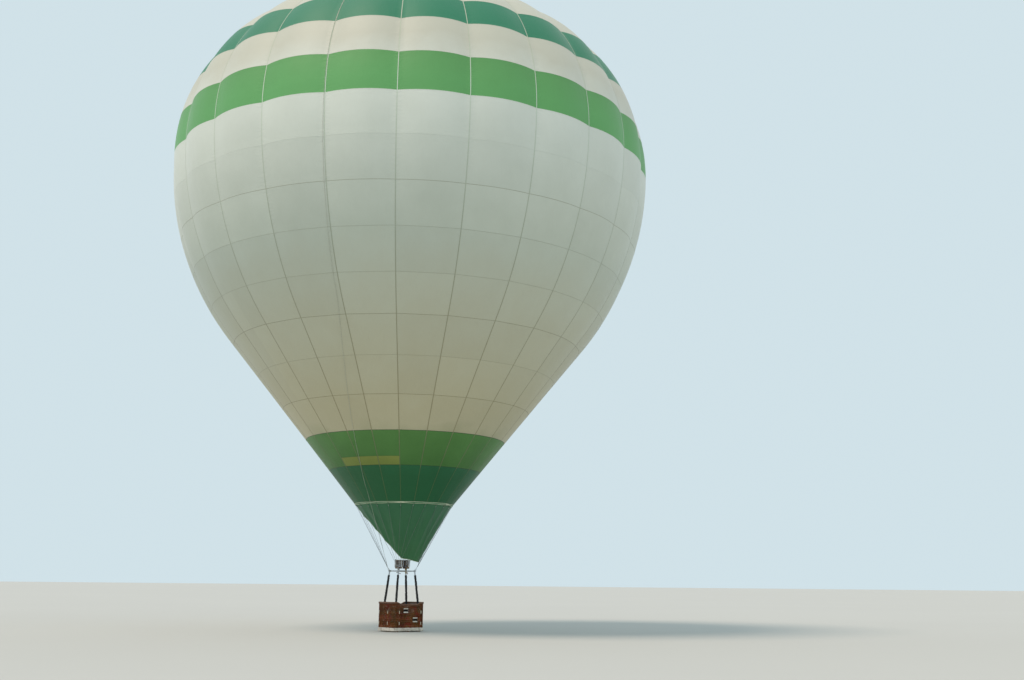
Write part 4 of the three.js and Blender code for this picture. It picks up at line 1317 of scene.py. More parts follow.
class BalloonMouth(bpy.types.Operator):
    """Makes the mouth's hem and the scoop that hangs in it"""

    bl_idname = "balloon.mouth"
    bl_label = "Mouth and scoop"

    def execute(self, context):
        choice = context.scene.balloon_rigging
        self.hem(choice)
        self.scoop(choice)
        return {"FINISHED"}

    def hem(self, choice):
        """A folded hem whose free edge waves in and out, painted pale at a few places as patches of light."""
        count = GORES * 16
        gore = np.arange(count) / 16
        azimuth = np.degrees(FIRST_TAPE + gore * GORE_ANGLE) % 360
        waves = np.sin(TAU * gore * 10 / GORES + 0.6) + 0.45 * np.sin(TAU * gore * 17 / GORES + 2.1)
        rings, pale = [], []
        for k, wave in enumerate(waves):
            # painted light: the hem is pale at these places, as patches of light
            turned = max(math.exp(-((azimuth[k] - place) / half) ** 2) for place, half in HEM_LIGHT_PATCHES)
            foot = -0.08 + 0.011 * wave
            head = -0.006 * max(wave, 0)
            middle = (foot + head) / 2
            out = 0.006 * wave
            section = [
                (foot + 0.004, 0.001 + out, 1), (foot, 0.003 + out, 1), (foot + 0.005, 0.0065 + out, 1),
                (foot + 0.017, 0.0055 + out, 1), (foot + 0.021, 0.0048 + out, turned),
                (middle, 0.006 + 1.6 * out, turned), (head - 0.017, 0.0048, turned),
                (head - 0.013, 0.0055, 1), (head - 0.004, 0.0055, 1), (head, 0.003, 1),
                (head - 0.004, 0.0005, 1), (middle, out, 0),
            ]
            up, lift, tone = np.array(section).T
            rings.append(cloth(HEM_TOP + up, gore[k], lift))
            pale.append(tone)
        form = Form()
        form.rings(rings, closed=True)
        finish = finish_of("hem_webbing", hem_cloth, choice.hem_cloth, choice.hem)
        hem = form.piece("mouth_hem_band", finish, "balloon", "tape")
        keep_values(hem.data, pale=np.array(pale))
        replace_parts(hem, "mouth_hem")

    def scoop(self, choice):
        """Cloth that hangs from the hem in upright folds, slack between the lines that hold its foot."""
        angle = FIRST_TAPE + turns(GORES * 10)
        gore = (angle - FIRST_TAPE) / GORE_ANGLE
        share = gore - np.floor(gore)
        reach = scoop_reach(angle)
        grid = []
        for t in (SCOOP_TOP, (SCOOP_TOP + SCOOP_NECK) / 2):
            grid.append(polar(angle, *inside_outline(t, SCOOP_DEPTH)))
        for drop in np.linspace(0, 1, 46):
            down = reach * drop
            r, z = scoop_point(angle, down)
            slack = 0.05 * np.sin(math.pi * np.clip(down, 0, 1)) * np.sin(math.pi * share)
            folds = 0.012 * np.sin(gore * math.pi + 3 * down) + 0.006 * np.sin(gore * TAU + 5 * down + 1.3)
            grid.append(polar(angle, r - slack + folds * eased(down, 0.0, 0.35), z))
        grid = np.array(grid)
        form = Form()
        form.grid(grid, wrap_columns=True)
        mesh = form.mesh("scoop_cloth")
        face_outwards(mesh)
        finish = finish_of("scoop_cloth", scoop_cloth, choice.scoop, paint("5a8546"))
        scoop = dressed("scoop_cloth", mesh, finish, "balloon", "scoop_cloth")
        thicken(scoop, 0.002)
        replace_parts(scoop, "scoop")
        form = Form()
        form.tube(grid[-1], 0.009, 10, closed=True)
        form.piece("scoop_edge", finish_of("scoop_edge", woven, paint("b9c7a4")), "balloon", "tape")


# Flying wires

# A lug of the burner frame: how far up its round head sits, the head's radius, its hole, half its thickness
LUG_RISE = 0.077
LUG_HEAD = 0.028
LUG_HOLE = 0.018
LUG_HALF = 0.006

KARABINER_LENGTH = 0.13
KARABINER_HALF = 0.03
KARABINER_ROD = 0.006
KARABINER_SEAT = LUG_RISE + LUG_HOLE - KARABINER_ROD - 0.0032
KARABINER_BAR = barrel(0.007, 0.009, 0.03)
KARABINER_SLEEVE = [
    (0, 0.0085), (0.06, 0.0095), (0.5, 0.0095), (0.53, 0.0085), (0.56, 0.0095), (0.94, 0.0095), (1, 0.0085),
]
WIRE_SPACING = 0.011
WIRE_DEPTH = 0.005
EYE_HALF = (0.014, 0.0125)
EYE_ROD = 0.0035


def corner_point(corner):
    return np.array([corner[0] * FRAME_HALF[0], corner[1] * FRAME_HALF[1], FRAME_LEVEL])


def lug_axes(corner):
    """Along the lug, across it, and through its thickness."""
    outward = unit(np.array([corner[0] * FRAME_HALF[0], corner[1] * FRAME_HALF[1], 0.0]))
    upright = np.array([0.0, 0.0, 1.0])
    along = outward * math.sin(LUG_LEAN) + upright * math.cos(LUG_LEAN)
    across = outward * math.cos(LUG_LEAN) - upright * math.sin(LUG_LEAN)
    return along, across, np.cross(across, along)


def karabiner_top(corner):
    """The middle of the bar in the karabiner's upper bow, where the wires hang."""
    along, _, _ = lug_axes(corner)
    return corner_point(corner) + along * (KARABINER_SEAT + KARABINER_LENGTH - 2 * KARABINER_ROD)


def wire_group(corner):
    """The six wires of a corner: the angle of each one's tape, and its place on the karabiner's bar."""
    _, _, side = lug_axes(corner)
    top = karabiner_top(corner)
    for shift in np.arange(6) - 2.5:
        yield math.atan2(corner[1], corner[0]) + shift * GORE_ANGLE, top - side * (shift * WIRE_SPACING)


class BalloonWires(bpy.types.Operator):
    """Makes the four groups of flying wires with their karabiners"""

    bl_idname = "balloon.wires"
    bl_label = "Flying wires"

    def execute(self, context):
        choice = context.scene.balloon_rigging
        rope = finish_of("wire_rope", wire_rope, paint("8a8d90"))
        steel = finish_of("fitting_steel", brushed_metal, paint("c3c6c9"), 0.25)
        radius, height = inside_outline(HEM_BOTTOM - 0.001, WIRE_DEPTH)
        for name, corner in CORNERS.items():
            along, _, side = lug_axes(corner)
            wires, fittings = Form(), Form()
            self.karabiner(fittings, corner_point(corner) + along * KARABINER_SEAT, along, side)
            top, bar = karabiner_top(corner), side * (3 * WIRE_SPACING)
            fittings.turned(KARABINER_BAR, top - bar, top + bar, 20)
            for angle, start in wire_group(corner):
                self.wire(wires, fittings, start, polar(angle, radius, height), side, choice.wire / 2)
            group = wires.piece(f"wires_{name}", rope, "balloon", "wire")
            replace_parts(group, f"flying_wires_{name}")
            fittings.piece(f"karabiner_{name}", steel, "balloon", "steel")
        return {"FINISHED"}

    def karabiner(self, form, base, along, side):
        """A steel loop through the lug, with a screw sleeve on one side."""
        inner = KARABINER_HALF - KARABINER_ROD
        straight = KARABINER_LENGTH - 2 * KARABINER_HALF
        path = []
        for start, lift in ((math.pi, 0.0), (0.0, straight)):
            for a in start + np.linspace(0, math.pi, 13):
                path.append(base + side * (inner * math.cos(a)) + along * (inner * (1 + math.sin(a)) + lift))
        form.tube(even_path(path, 72, closed=True), KARABINER_ROD, 12, closed=True)
        gate = base + side * inner + along * (inner + 0.2 * straight)
        form.turned(KARABINER_SLEEVE, gate, gate + along * (0.6 * straight), 20)

    def wire(self, wires, fittings, start, end, side, radius):
        """One wire rope: an eye round the bar with a pressed ferrule, and the same at the tape's end."""
        direction = unit(end - start)
        cross = unit(np.cross(side, direction))
        turn = turns(20)[:, None]
        long, wide = EYE_HALF
        eye = start + direction * (0.006 - long * np.cos(turn)) + cross * (wide * np.sin(turn))
        wires.tube(eye, EYE_ROD, 8, closed=True)
        wires.tube([start + direction * 0.02, end], radius, 10)
        lower = (start + direction * 0.018, start + direction * 0.058)
        upper = (end - direction * 0.13, end - direction * 0.085)
        fittings.turned(barrel(0.005, 0.0065, 0.1), *lower, 14)
        fittings.turned(barrel(0.005, 0.0068, 0.1), *upper, 14)


# The crown line's way down the cloth: arc lengths and azimuths
CROWN_LINE = [
    (VENT_EDGE, 217.5), (9.0, 217.5), (4.0, 217.5), (0.0, 217.3), (-4.0, 217.0), (-7.2, 216.2),
    (-8.4, 214.8), (-9.6, 213.0), (-11.15, 210.0), (-12.56, 206.6), (-13.8, 203.0), (-15.2, 197.0),
]

# A loop at a tape's end: distances along the wire's direction, and inwards from the cloth
TAPE_LOOP = [(0, 0), (0.07, 0), (0.112, 0.004), (0.118, 0.012), (0.105, 0.018), (0.06, 0.017)]


class BalloonTapeLoops(bpy.types.Operator):
    """Makes the loops at the tapes' ends that the wires hang in, and the crown line"""

    bl_idname = "balloon.loops"
    bl_label = "Tape loops and crown line"

    def execute(self, context):
        form = Form()
        for corner in CORNERS.values():
            for angle, target in wire_group(corner):
                start = cloth(HEM_BOTTOM + 0.05, (angle - FIRST_TAPE) / GORE_ANGLE, 0.006)
                direction = unit(target - start)
                across = unit(np.cross(direction, polar(angle, z=0.4)))
                face = unit(np.cross(across, direction))
                path = [start + direction * along - face * inwards for along, inwards in TAPE_LOOP]
                form.strap(smooth_path(path, 20), face, 0.03, 0.0022)
        form.piece("tape_end_loops", finish_of("loop_webbing", woven, paint("5d7d60")), "balloon", "tape")
        self.crown_line(context.scene.balloon_rigging)
        return {"FINISHED"}

    def crown_line(self, choice):
        """A light rope from the crown ring over the cloth, drawn tight to the frame's rear left corner."""
        radius = choice.crown_line / 2
        lengths, azimuths = np.array(CROWN_LINE)[::-1].T
        start = math.radians(CROWN_LINE[0][1])
        points = [cap_point(0.15, start, 0.03), cap_point(1.2, start, 0.02)]
        along = np.linspace(lengths[-1], lengths[0], 90)
        gore = (np.radians(np.interp(along, lengths, azimuths)) - FIRST_TAPE) / GORE_ANGLE
        points.extend(cloth(along, gore, radius + 0.012))
        points.append(np.array([-FRAME_HALF[0] - 0.035, FRAME_HALF[1] + 0.02, FRAME_LEVEL + 0.02]))
        form = Form()
        form.tube(smooth_path(points, 320), radius, 8)
        # four turns round the frame's tube
        turn = TAU * np.arange(64) / 16
        hitch = np.stack([
            -FRAME_HALF[0] + (FRAME_TUBE + 0.007) * np.cos(turn),
            FRAME_HALF[1] - 0.05 - 0.013 * turn / TAU,
            FRAME_LEVEL + (FRAME_TUBE + 0.007) * np.sin(turn),
        ], -1)
        form.tube(hitch, radius, 8)
        form.piece("crown_line", finish_of("line_pale", twisted_rope, paint("bfc2b2")), "balloon", "tape")


# Burner frame and gimbal

BOARD_TOP = FLOOR_LEVEL + 0.0553
GAP = 0.0003
POLE_SOCKET = [(0, 0.024), (0.86, 0.024), (0.88, 0.026), (0.97, 0.026), (1, 0.0235)]
PINCH_BOLT = [(0, 0.0065), (0.12, 0.0065), (0.13, 0.004), (0.87, 0.004), (0.88, 0.0065), (1, 0.0065)]
FRAME_BOSS = [(0, 0.018), (0.05, 0.02), (0.9, 0.02), (1, 0.017)]
GIMBAL_PIN = [(0, 0.013), (0.25, 0.013), (0.26, 0.010), (1, 0.010)]
FRAME_BLOCK = 0.032
SOCKET_LENGTH = 0.15
PINCH_BOLTS_DOWN = (0.06, 0.115)
LUG_SIDES = 48
LUG_FOOT = 0.062
LUG_SOFT = 0.0012


def pole_axis(corner):
    """Where a pole's axis meets the frame, and its direction down to its foot."""
    top = corner_point(corner)
    foot = np.array([corner[0] * POLE_FOOT[0], corner[1] * POLE_FOOT[1], BOARD_TOP])
    return top, unit(foot - top)


def frame_tubes(form, half, radius, block, soft, sides):
    """Four tubes round a level frame, with a block at each corner."""
    points = [np.array([x * half[0], y * half[1], FRAME_LEVEL]) for x, y in CORNERS.values()]
    for a, b in zip(points, points[1:] + points[:1]):
        form.rod(a, b, radius, sides)
    for at in points:
        form.slab(at - block, at + block, soft)


class BalloonFrame(bpy.types.Operator):
    """Makes the burner frame and the gimbal ring in it"""

    bl_idname = "balloon.frame"
    bl_label = "Burner frame and gimbal"

    def execute(self, context):
        steel = finish_of("frame_steel", brushed_metal, context.scene.balloon_burner.steel)
        self.burner_frame(steel)
        self.gimbal_ring(steel)
        return {"FINISHED"}

    def burner_frame(self, steel):
        """Tubes, the gimbal's bosses, and a block, a socket, a lug and two pinch bolts at each corner."""
        form = Form()
        frame_tubes(form, FRAME_HALF, FRAME_TUBE, FRAME_BLOCK, 0.005, 24)
        for corner in CORNERS.values():
            top, down = pole_axis(corner)
            form.turned(POLE_SOCKET, top, top + down * SOCKET_LENGTH, 28)
            self.lug(form, corner)
            _, _, side = lug_axes(corner)
            half = side * FRAME_BLOCK
            for reach in PINCH_BOLTS_DOWN:
                bolt = top + down * reach
                form.turned(PINCH_BOLT, bolt - half, bolt + half, 6)
        for side in (-1, 1):
            inner = (side * (FRAME_HALF[0] - 0.034), 0, FRAME_LEVEL)
            outer = (side * (FRAME_HALF[0] + 0.024), 0, FRAME_LEVEL)
            form.turned(FRAME_BOSS, inner, outer, 28)
        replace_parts(form.piece("burner_frame_tubes", steel, "balloon", "steel"), "burner_frame")

    def lug(self, form, corner):
        """A plate with a round head and a hole for the karabiner."""
        along, across, side = lug_axes(corner)
        head = corner_point(corner) + along * LUG_RISE
        outward = round_ring(across, along, LUG_SIDES)
        cos, sin = np.abs(outward @ across), outward @ along
        foot = np.minimum(LUG_HEAD / np.maximum(cos, 1e-6), LUG_FOOT / np.maximum(-sin, 1e-6))
        reach = np.where(sin < -1e-9, foot, LUG_HEAD)
        hole, edge = head + outward * LUG_HOLE, head + outward * reach[:, None]
        half, soft = side * LUG_HALF, outward * LUG_SOFT
        rings = np.stack([
            hole - half * 0.8, hole + half * 0.8, hole + soft + half,
            edge - soft + half, edge + half * 0.8, edge - half * 0.8,
            edge - soft - half, hole + soft - half,
        ], 1)
        form.rings(rings, closed=True)

    def gimbal_ring(self, steel):
        """The ring that swings in the frame on two pins, with bosses for the burner's own pins."""
        form = Form()
        frame_tubes(form, RING_HALF, RING_TUBE, RING_TUBE, 0.003, 20)
        for side in (-1, 1):
            start = (side * RING_HALF[0], 0, FRAME_LEVEL)
            form.turned(GIMBAL_PIN, start, (side * (FRAME_HALF[0] + 0.008), 0, FRAME_LEVEL), 20)
            inner = (0, side * (RING_HALF[1] - 0.014), FRAME_LEVEL)
            outer = (0, side * (RING_HALF[1] + 0.02), FRAME_LEVEL)
            form.turned(barrel(0.018, 0.02, 0.08), inner, outer, 24)
        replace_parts(form.piece("gimbal_tubes", steel, "gimbal", "steel"), "gimbal_ring")


# Burner

CAN_FOOT = FRAME_LEVEL + 0.09
JET_RING = 0.075
COIL_SEAT = CAN_FOOT + 0.0543
COIL_TURNS = 6
COIL_STEPS = 40
COIL_RADIUS = 0.149
COIL_HEIGHT = 0.29
BLOCK_LOW = (-0.205, -0.045, -0.03)
BLOCK_HIGH = (0.205, 0.045, 0.025)
BLOCK_PIN = (0, 0.233, 0)
BOLT_RING = 0.029
GAUGE_PLACES = (-0.085, 0.085, 0.0)

BURNER_NECK = [(0, 0.038), (0.6, 0.038), (0.64, 0.042), (0.9, 0.042), (1, 0.038)]
VALVE_BODY = [(0, 0.026), (0.55, 0.026), (0.58, 0.022), (0.8, 0.022), (0.83, 0.026), (1, 0.023)]
FUEL_INLET = [(0, 0.012), (0.6, 0.012), (0.65, 0.015), (0.95, 0.015), (1, 0.012)]
BLOCK_BOLT = [(0, 0.005), (0.5, 0.005), (0.55, 0.003), (1, 0.003)]
LEVER = [(0, 0.009), (0.5, 0.008), (1, 0.008)]
LEVER_GRIP = [(0, 0.008), (0.08, 0.012), (0.5, 0.0125), (0.9, 0.0125), (1, 0.008)]
GAUGE_CASE = [(0, 0.019), (0.55, 0.019), (0.6, 0.022), (0.95, 0.022), (1, 0.019)]
JET = [(0, 0.006), (0.6, 0.006), (1, 0.003)]
CAN_HUB = [(0.0005, 0.001), (0.021, 0.001), (0.021, 0.03), (0.014, 0.034), (0.0005, 0.034)]
CAN_SHELL = [
    (0.02, 0.0), (0.125, 0.0), (0.13, 0.005), (0.13, 0.050), (0.158, 0.050), (0.16, 0.0515), (0.16, 0.0528),
    (0.158, 0.054), (0.13, 0.054), (0.13, 0.073), (0.1285, 0.075), (0.1265, 0.075), (0.125, 0.073),
    (0.125, 0.006), (0.02, 0.006),
]


def brass(context):
    return finish_of("brass", brushed_metal, context.scene.balloon_burner.brass, 0.3, (0.08, 0.05, 0.02))


class BalloonBurner(bpy.types.Operator):
    """Makes the double burner: block, valves, cans and coils"""

    bl_idname = "balloon.burner"
    bl_label = "Burner"

    def execute(self, context):
        choice = context.scene.balloon_burner
        self.block(brass(context))
        for name, x in (("left", -BURNER_X), ("right", BURNER_X)):
            self.can(name, x, choice)
            self.coil(name, x, choice)
        return {"FINISHED"}

    def block(self, finish):
        """The block under the cans, with its pins, valves, levers and gauges."""
        at = np.array([0, 0, FRAME_LEVEL])
        form, grips, cases, faces = Form(), Form(), Form(), Form()
        form.slab(at + BLOCK_LOW, at + BLOCK_HIGH, 0.006)
        form.turned(barrel(0.009, 0.010, 0.01), at - BLOCK_PIN, at + BLOCK_PIN, 20)
        for x in (-BURNER_X, BURNER_X):
            spot = at + (x, 0, 0)
            form.turned(BURNER_NECK, spot, spot + (0, 0, 0.0897), 32)
            form.turned(VALVE_BODY, spot, spot - (0, 0, 0.095), 28)
            form.turned(FUEL_INLET, spot - (0, 0, 0.05), at + (x * 1.5, 0, -0.06), 18)
            for foot in circle(spot + (0, 0, 0.022), BOLT_RING, 6):
                form.turned(BLOCK_BOLT, foot, foot + (0, 0, 0.012), 6)
            form.turned(LEVER, spot + (0, 0, -0.08), spot + (0, -0.08, -0.093), 14)
            grips.turned(LEVER_GRIP, spot + (0, -0.078, -0.0927), spot + (0, -0.15, -0.105), 20)
        for x in GAUGE_PLACES:
            spot = at + (x, -0.047, -0.002)
            cases.turned(GAUGE_CASE, spot, spot + (0, -0.016, 0), 32)
            face = spot + (0, -0.0162, 0)
            faces.rod(face, face + (0, -0.0006, 0), 0.0185, 32)
            faces.tube([face + (0, -0.0008, 0), face + (0.008, -0.0008, 0.011)], 0.0006, 6)
        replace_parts(form.piece("burner_block_body", finish, "burner", "brass"), "burner_block")
        grips.piece("blast_valve_grips", finish_of("grip", moulded, paint("8f231c"), 0.45), "burner", "brass")
        case = finish_of("gauge_case", brushed_metal, paint("c9c9c6"), 0.2)
        cases.piece("gauge_cases", case, "burner", "steel")
        faces.piece("gauge_faces", finish_of("gauge_face", moulded, paint("e6e6e0"), 0.3), "burner", "steel")

    def can(self, name, x, choice):
        """The can below the flame: a shell with a flange that carries the coil, and a ring of jets inside."""
        foot = np.array([x, 0, CAN_FOOT])
        form = Form()
        form.lathe(CAN_SHELL, foot, 64, closed=True)
        form.lathe(CAN_HUB, foot, 32)
        form.tube(circle(foot + (0, 0, 0.045), JET_RING, 48), 0.008, 12, closed=True)
        for jet in circle(foot + (0, 0, 0.05), JET_RING, 14):
            form.turned(JET, jet, jet + (0, 0, 0.012), 10)
        for angle in turns(4) + TAU / 8:
            form.tube([foot + polar(angle, 0.018, 0.02), foot + polar(angle, JET_RING, 0.042)], 0.005, 10)
        steel = finish_of("can_steel", heated_metal, choice.steel)
        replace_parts(form.piece(f"can_{name}", steel, "burner", "steel"), f"burner_can_{name}")

    def coil(self, name, x, choice):
        """Two tubes wound together round the flame, each turn above the last, on three upright straps."""
        radius = choice.coil_tube / 2
        base = COIL_SEAT + radius
        pitch = (COIL_HEIGHT - 2 * radius) / COIL_TURNS
        turn = np.arange(COIL_TURNS * COIL_STEPS + 1) / COIL_STEPS
        form = Form()
        for start in (0.0, 0.5):
            rise = base + turn * pitch * (1 - 0.5 / COIL_TURNS) + start * pitch
            form.tube(polar(TAU * (turn + start), COIL_RADIUS, rise) + (x, 0, 0), radius, 10)
        for angle in turns(3) + 0.4:
            foot = polar(angle, 0.1375, CAN_FOOT + 0.055) + (x, 0, 0)
            form.strap([foot, foot + (0, 0, 0.285)], polar(angle), 0.016, 0.0022)
        finish = finish_of("coil_tube", heated_metal, choice.coil)
        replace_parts(form.piece(f"coil_{name}", finish, "burner", "coil_steel"), f"burner_coil_{name}")


# Poles and covers

POLE = [(0, 0.0125), (0.004, POLE_RADIUS), (0.94, POLE_RADIUS), (0.945, 0.017), (0.99, 0.017), (1, 0.0155)]
COVER_START = 0.156
COVER_FOOT = FLOOR_LEVEL + 0.96
COVER_STRAPS = (0.12, 0.5, 0.88)
COVER_ENDS = (0.004, 0.996)
STRAP = barrel(0.0395, 0.0415, 0.1)
END_BINDING = [(0, 0.0395), (0.5, 0.0405), (1, 0.0395)]
SWELL_FRAMES = 20
SWELL_CAP = 0.012


def swell(pads, held):
    """Fills padded pieces by a cloth simulation under pressure. Held points stay, and no point goes far."""
    starts = [points_of(pad.data) for pad in pads]
    for pad in pads:
        pad.vertex_groups.new(name="held").add(held, 1.0, "REPLACE")
        filling = pad.modifiers.new("filling", "CLOTH")
        filling.collision_settings.use_collision = False
        filling.point_cache.frame_end = SWELL_FRAMES
        cloth_settings = filling.settings
        cloth_settings.vertex_group_mass = "held"
        cloth_settings.effector_weights.gravity = 0
        cloth_settings.use_pressure = True
        cloth_settings.uniform_pressure_force = 4.0
        cloth_settings.shrink_min = -0.07
        cloth_settings.bending_stiffness = 0.3
    for number in range(1, SWELL_FRAMES + 1):
        bpy.context.scene.frame_set(number)
    scene_now = bpy.context.evaluated_depsgraph_get()
    for pad, start in zip(pads, starts):
        step = points_of(pad.evaluated_get(scene_now).data) - start
        far = np.linalg.norm(step, axis=1, keepdims=True)
        pad.modifiers.remove(pad.modifiers["filling"])
        move_points(pad.data, start + step * np.minimum(1, SWELL_CAP / np.maximum(far, 1e-9)))
    bpy.context.scene.frame_set(1)


def held_inside(pad, start, along, radius):
    """Brings points that lie too far from an axis back to a radius."""
    points = points_of(pad.data)
    foot = start + ((points - start) @ along)[:, None] * along
    away = np.linalg.norm(points - foot, axis=1, keepdims=True)
    move_points(pad.data, foot + (points - foot) * np.minimum(1, radius / np.maximum(away, 1e-9)))


class BalloonPoles(bpy.types.Operator):
    """Makes the four poles and their padded covers"""

    bl_idname = "balloon.poles"
    bl_label = "Poles and covers"
    rows = 96
    sides = 30

    def execute(self, context):
        choice = context.scene.balloon_burner
        covers = []
        nylon = finish_of("nylon_pole", moulded, paint("ded9cc"), 0.45)
        leather = finish_of("cover_leathercloth", padded_cover, choice.cover, paint("3a3b3e"))
        binding = finish_of("cover_binding", woven, paint("26272a"))
        for number, (name, corner) in enumerate(CORNERS.items()):
            top, down = pole_axis(corner)
            length = (top[2] - BOARD_TOP - GAP) / -down[2]
            form = Form()
            form.turned(POLE, top + down * 0.041, top + down * (length - 0.006), 24)
            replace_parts(form.piece(f"pole_rod_{name}", nylon, "balloon", "pole"), f"pole_{name}")
            covers.append(self.cover(name, corner, number, leather, binding))
            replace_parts(covers[-1], f"pole_cover_{name}")
        swell(covers, self.held_points())
        for cover, corner in zip(covers, CORNERS.values()):
            held_inside(cover, *pole_axis(corner), COVER_RADIUS)
            finer = cover.modifiers.new("finer", "SUBSURF")
            finer.levels = finer.render_levels = 1
        return {"FINISHED"}

    def shares(self):
        return np.arange(self.rows) / (self.rows - 1)

    def held_points(self):
        """The points of a cover that its straps and its bound ends hold."""
        near = np.min([np.abs(self.shares() - place) for place in (0.0, *COVER_STRAPS, 1.0)], axis=0) < 0.011
        return np.flatnonzero(np.repeat(near, self.sides)).tolist()

    def cover(self, name, corner, number, leather, binding):
        """A padded sleeve drawn in by three straps, with a flap down its inner side."""
        top, down = pole_axis(corner)
        start = top + down * COVER_START
        length = (FRAME_LEVEL - COVER_FOOT) / -down[2] - COVER_START
        across, up = carried_frame(np.array([top, top + down]))
        ring = round_ring(across[0], up[0], self.sides)
        inward = -unit(np.array([*corner, 0.0]))
        facing = np.clip(ring @ inward, 0, 1) ** 60
        turn = turns(self.sides)
        rings = []
        for share in self.shares():
            radius = COVER_RADIUS - 0.004
            radius *= 1 - 0.11 * sum(math.exp(-((share - s) * length / 0.022) ** 2) for s in COVER_STRAPS)
            radius *= 0.82 + 0.18 * math.sin(math.pi * min(min(share, 1 - share) * length / 0.05, 0.5))
            wave = 1 + 0.02 * np.sin(turn * 3 + share * 17 + number) * np.sin(share * 31 + number * 2)
            wave += 0.012 * np.sin(turn * 5 - share * 41 + number)
            radii = radius * wave + 0.0015 * facing
            rings.append(start + down * (share * length) + radii[:, None] * ring)
        form = Form()
        form.rings(rings)
        cover = form.piece(f"cover_{name}", leather, "balloon", "cover")
        form = Form()
        for share in COVER_STRAPS:
            centre = start + down * (share * length)
            form.turned(STRAP, centre - down * 0.0125, centre + down * 0.0125, 32)
            buckle = centre + inward * 0.042
            form.strap([buckle - down * 0.014, buckle + down * 0.014], inward, 0.03, 0.004)
        for share in COVER_ENDS:
            centre = start + down * (share * length)
            form.turned(END_BINDING, centre - down * 0.006, centre + down * 0.006, 32)
        form.piece(f"cover_straps_{name}", binding, "balloon", "cover")
        return cover


# Basket

STRAIGHT_X = 2 * (BASKET_HALF[0] - BASKET_CORNER)
STRAIGHT_Y = 2 * (BASKET_HALF[1] - BASKET_CORNER)
QUARTER = math.pi / 2 * BASKET_CORNER
PERIMETER = 2 * (STRAIGHT_X + STRAIGHT_Y) + 4 * QUARTER


def basket_line(s):
    """Places on the wall's outer line and outward directions, at distances round it from the front left."""
    s = np.mod(np.asarray(s, float), PERIMETER)
    cx, cy = BASKET_HALF[0] - BASKET_CORNER, BASKET_HALF[1] - BASKET_CORNER
    place = np.zeros((*s.shape, 2))
    out = np.zeros((*s.shape, 2))
    start = 0.0
    legs = [
        ((-cx, -BASKET_HALF[1]), (1, 0), STRAIGHT_X, (cx, -cy), -90),
        ((BASKET_HALF[0], -cy), (0, 1), STRAIGHT_Y, (cx, cy), 0),
        ((cx, BASKET_HALF[1]), (-1, 0), STRAIGHT_X, (-cx, cy), 90),
        ((-BASKET_HALF[0], cy), (0, -1), STRAIGHT_Y, (-cx, -cy), 180),
    ]
    for origin, along, length, centre, turn in legs:
        on = (s >= start) & (s < start + length)
        place[on] = np.array(origin) + (s[on] - start)[:, None] * np.array(along)
        out[on] = (along[1], -along[0])
        start += length
        on = (s >= start) & (s <= start + QUARTER)
        angle = math.radians(turn) + (s[on] - start) / BASKET_CORNER
        out[on] = np.stack([np.cos(angle), np.sin(angle)], -1)
        place[on] = np.array(centre) + BASKET_CORNER * out[on]
        start += QUARTER
    return place, out


def dip_of(place):
    """How far the top edge dips at places along the long sides."""
    long_side = np.abs(place[..., 1]) > BASKET_HALF[1] - 0.001
    return np.where(long_side, RIM_DIP * (1 - eased(np.abs(place[..., 0]), DIP_END, DIP_START)), 0.0)


def round_basket(section, samples):
    """Rings of a section swept round the basket: reach outwards, height, and whether it follows the dip."""
    place, out = basket_line(np.arange(samples) * PERIMETER / samples)
    dip = dip_of(place)
    rings = []
    for reach, z, follows in section:
        rings.append(np.concatenate([place + out * reach, (z - dip * follows)[:, None]], -1))
    return np.stack(rings, 1)


def in_step(place, z, margin):
    """Whether a place of the wall lies in a step hole, made larger by a margin."""
    if place[1] > -BASKET_HALF[1] + 0.002:
        return False
    half_x, half_z = STEP_HALF[0] + margin, STEP_HALF[1] + margin
    return any(abs(place[0] - x) < half_x and abs(z - middle) < half_z for x, middle in STEPS)


def runs(items, kept):
    """Stretches of two or more neighbouring items that are kept."""
    run = []
    for item, keep in [*zip(items, kept), (None, False)]:
        if keep:
            run.append(item)
            continue
        if len(run) > 1:
            yield run
        run = []


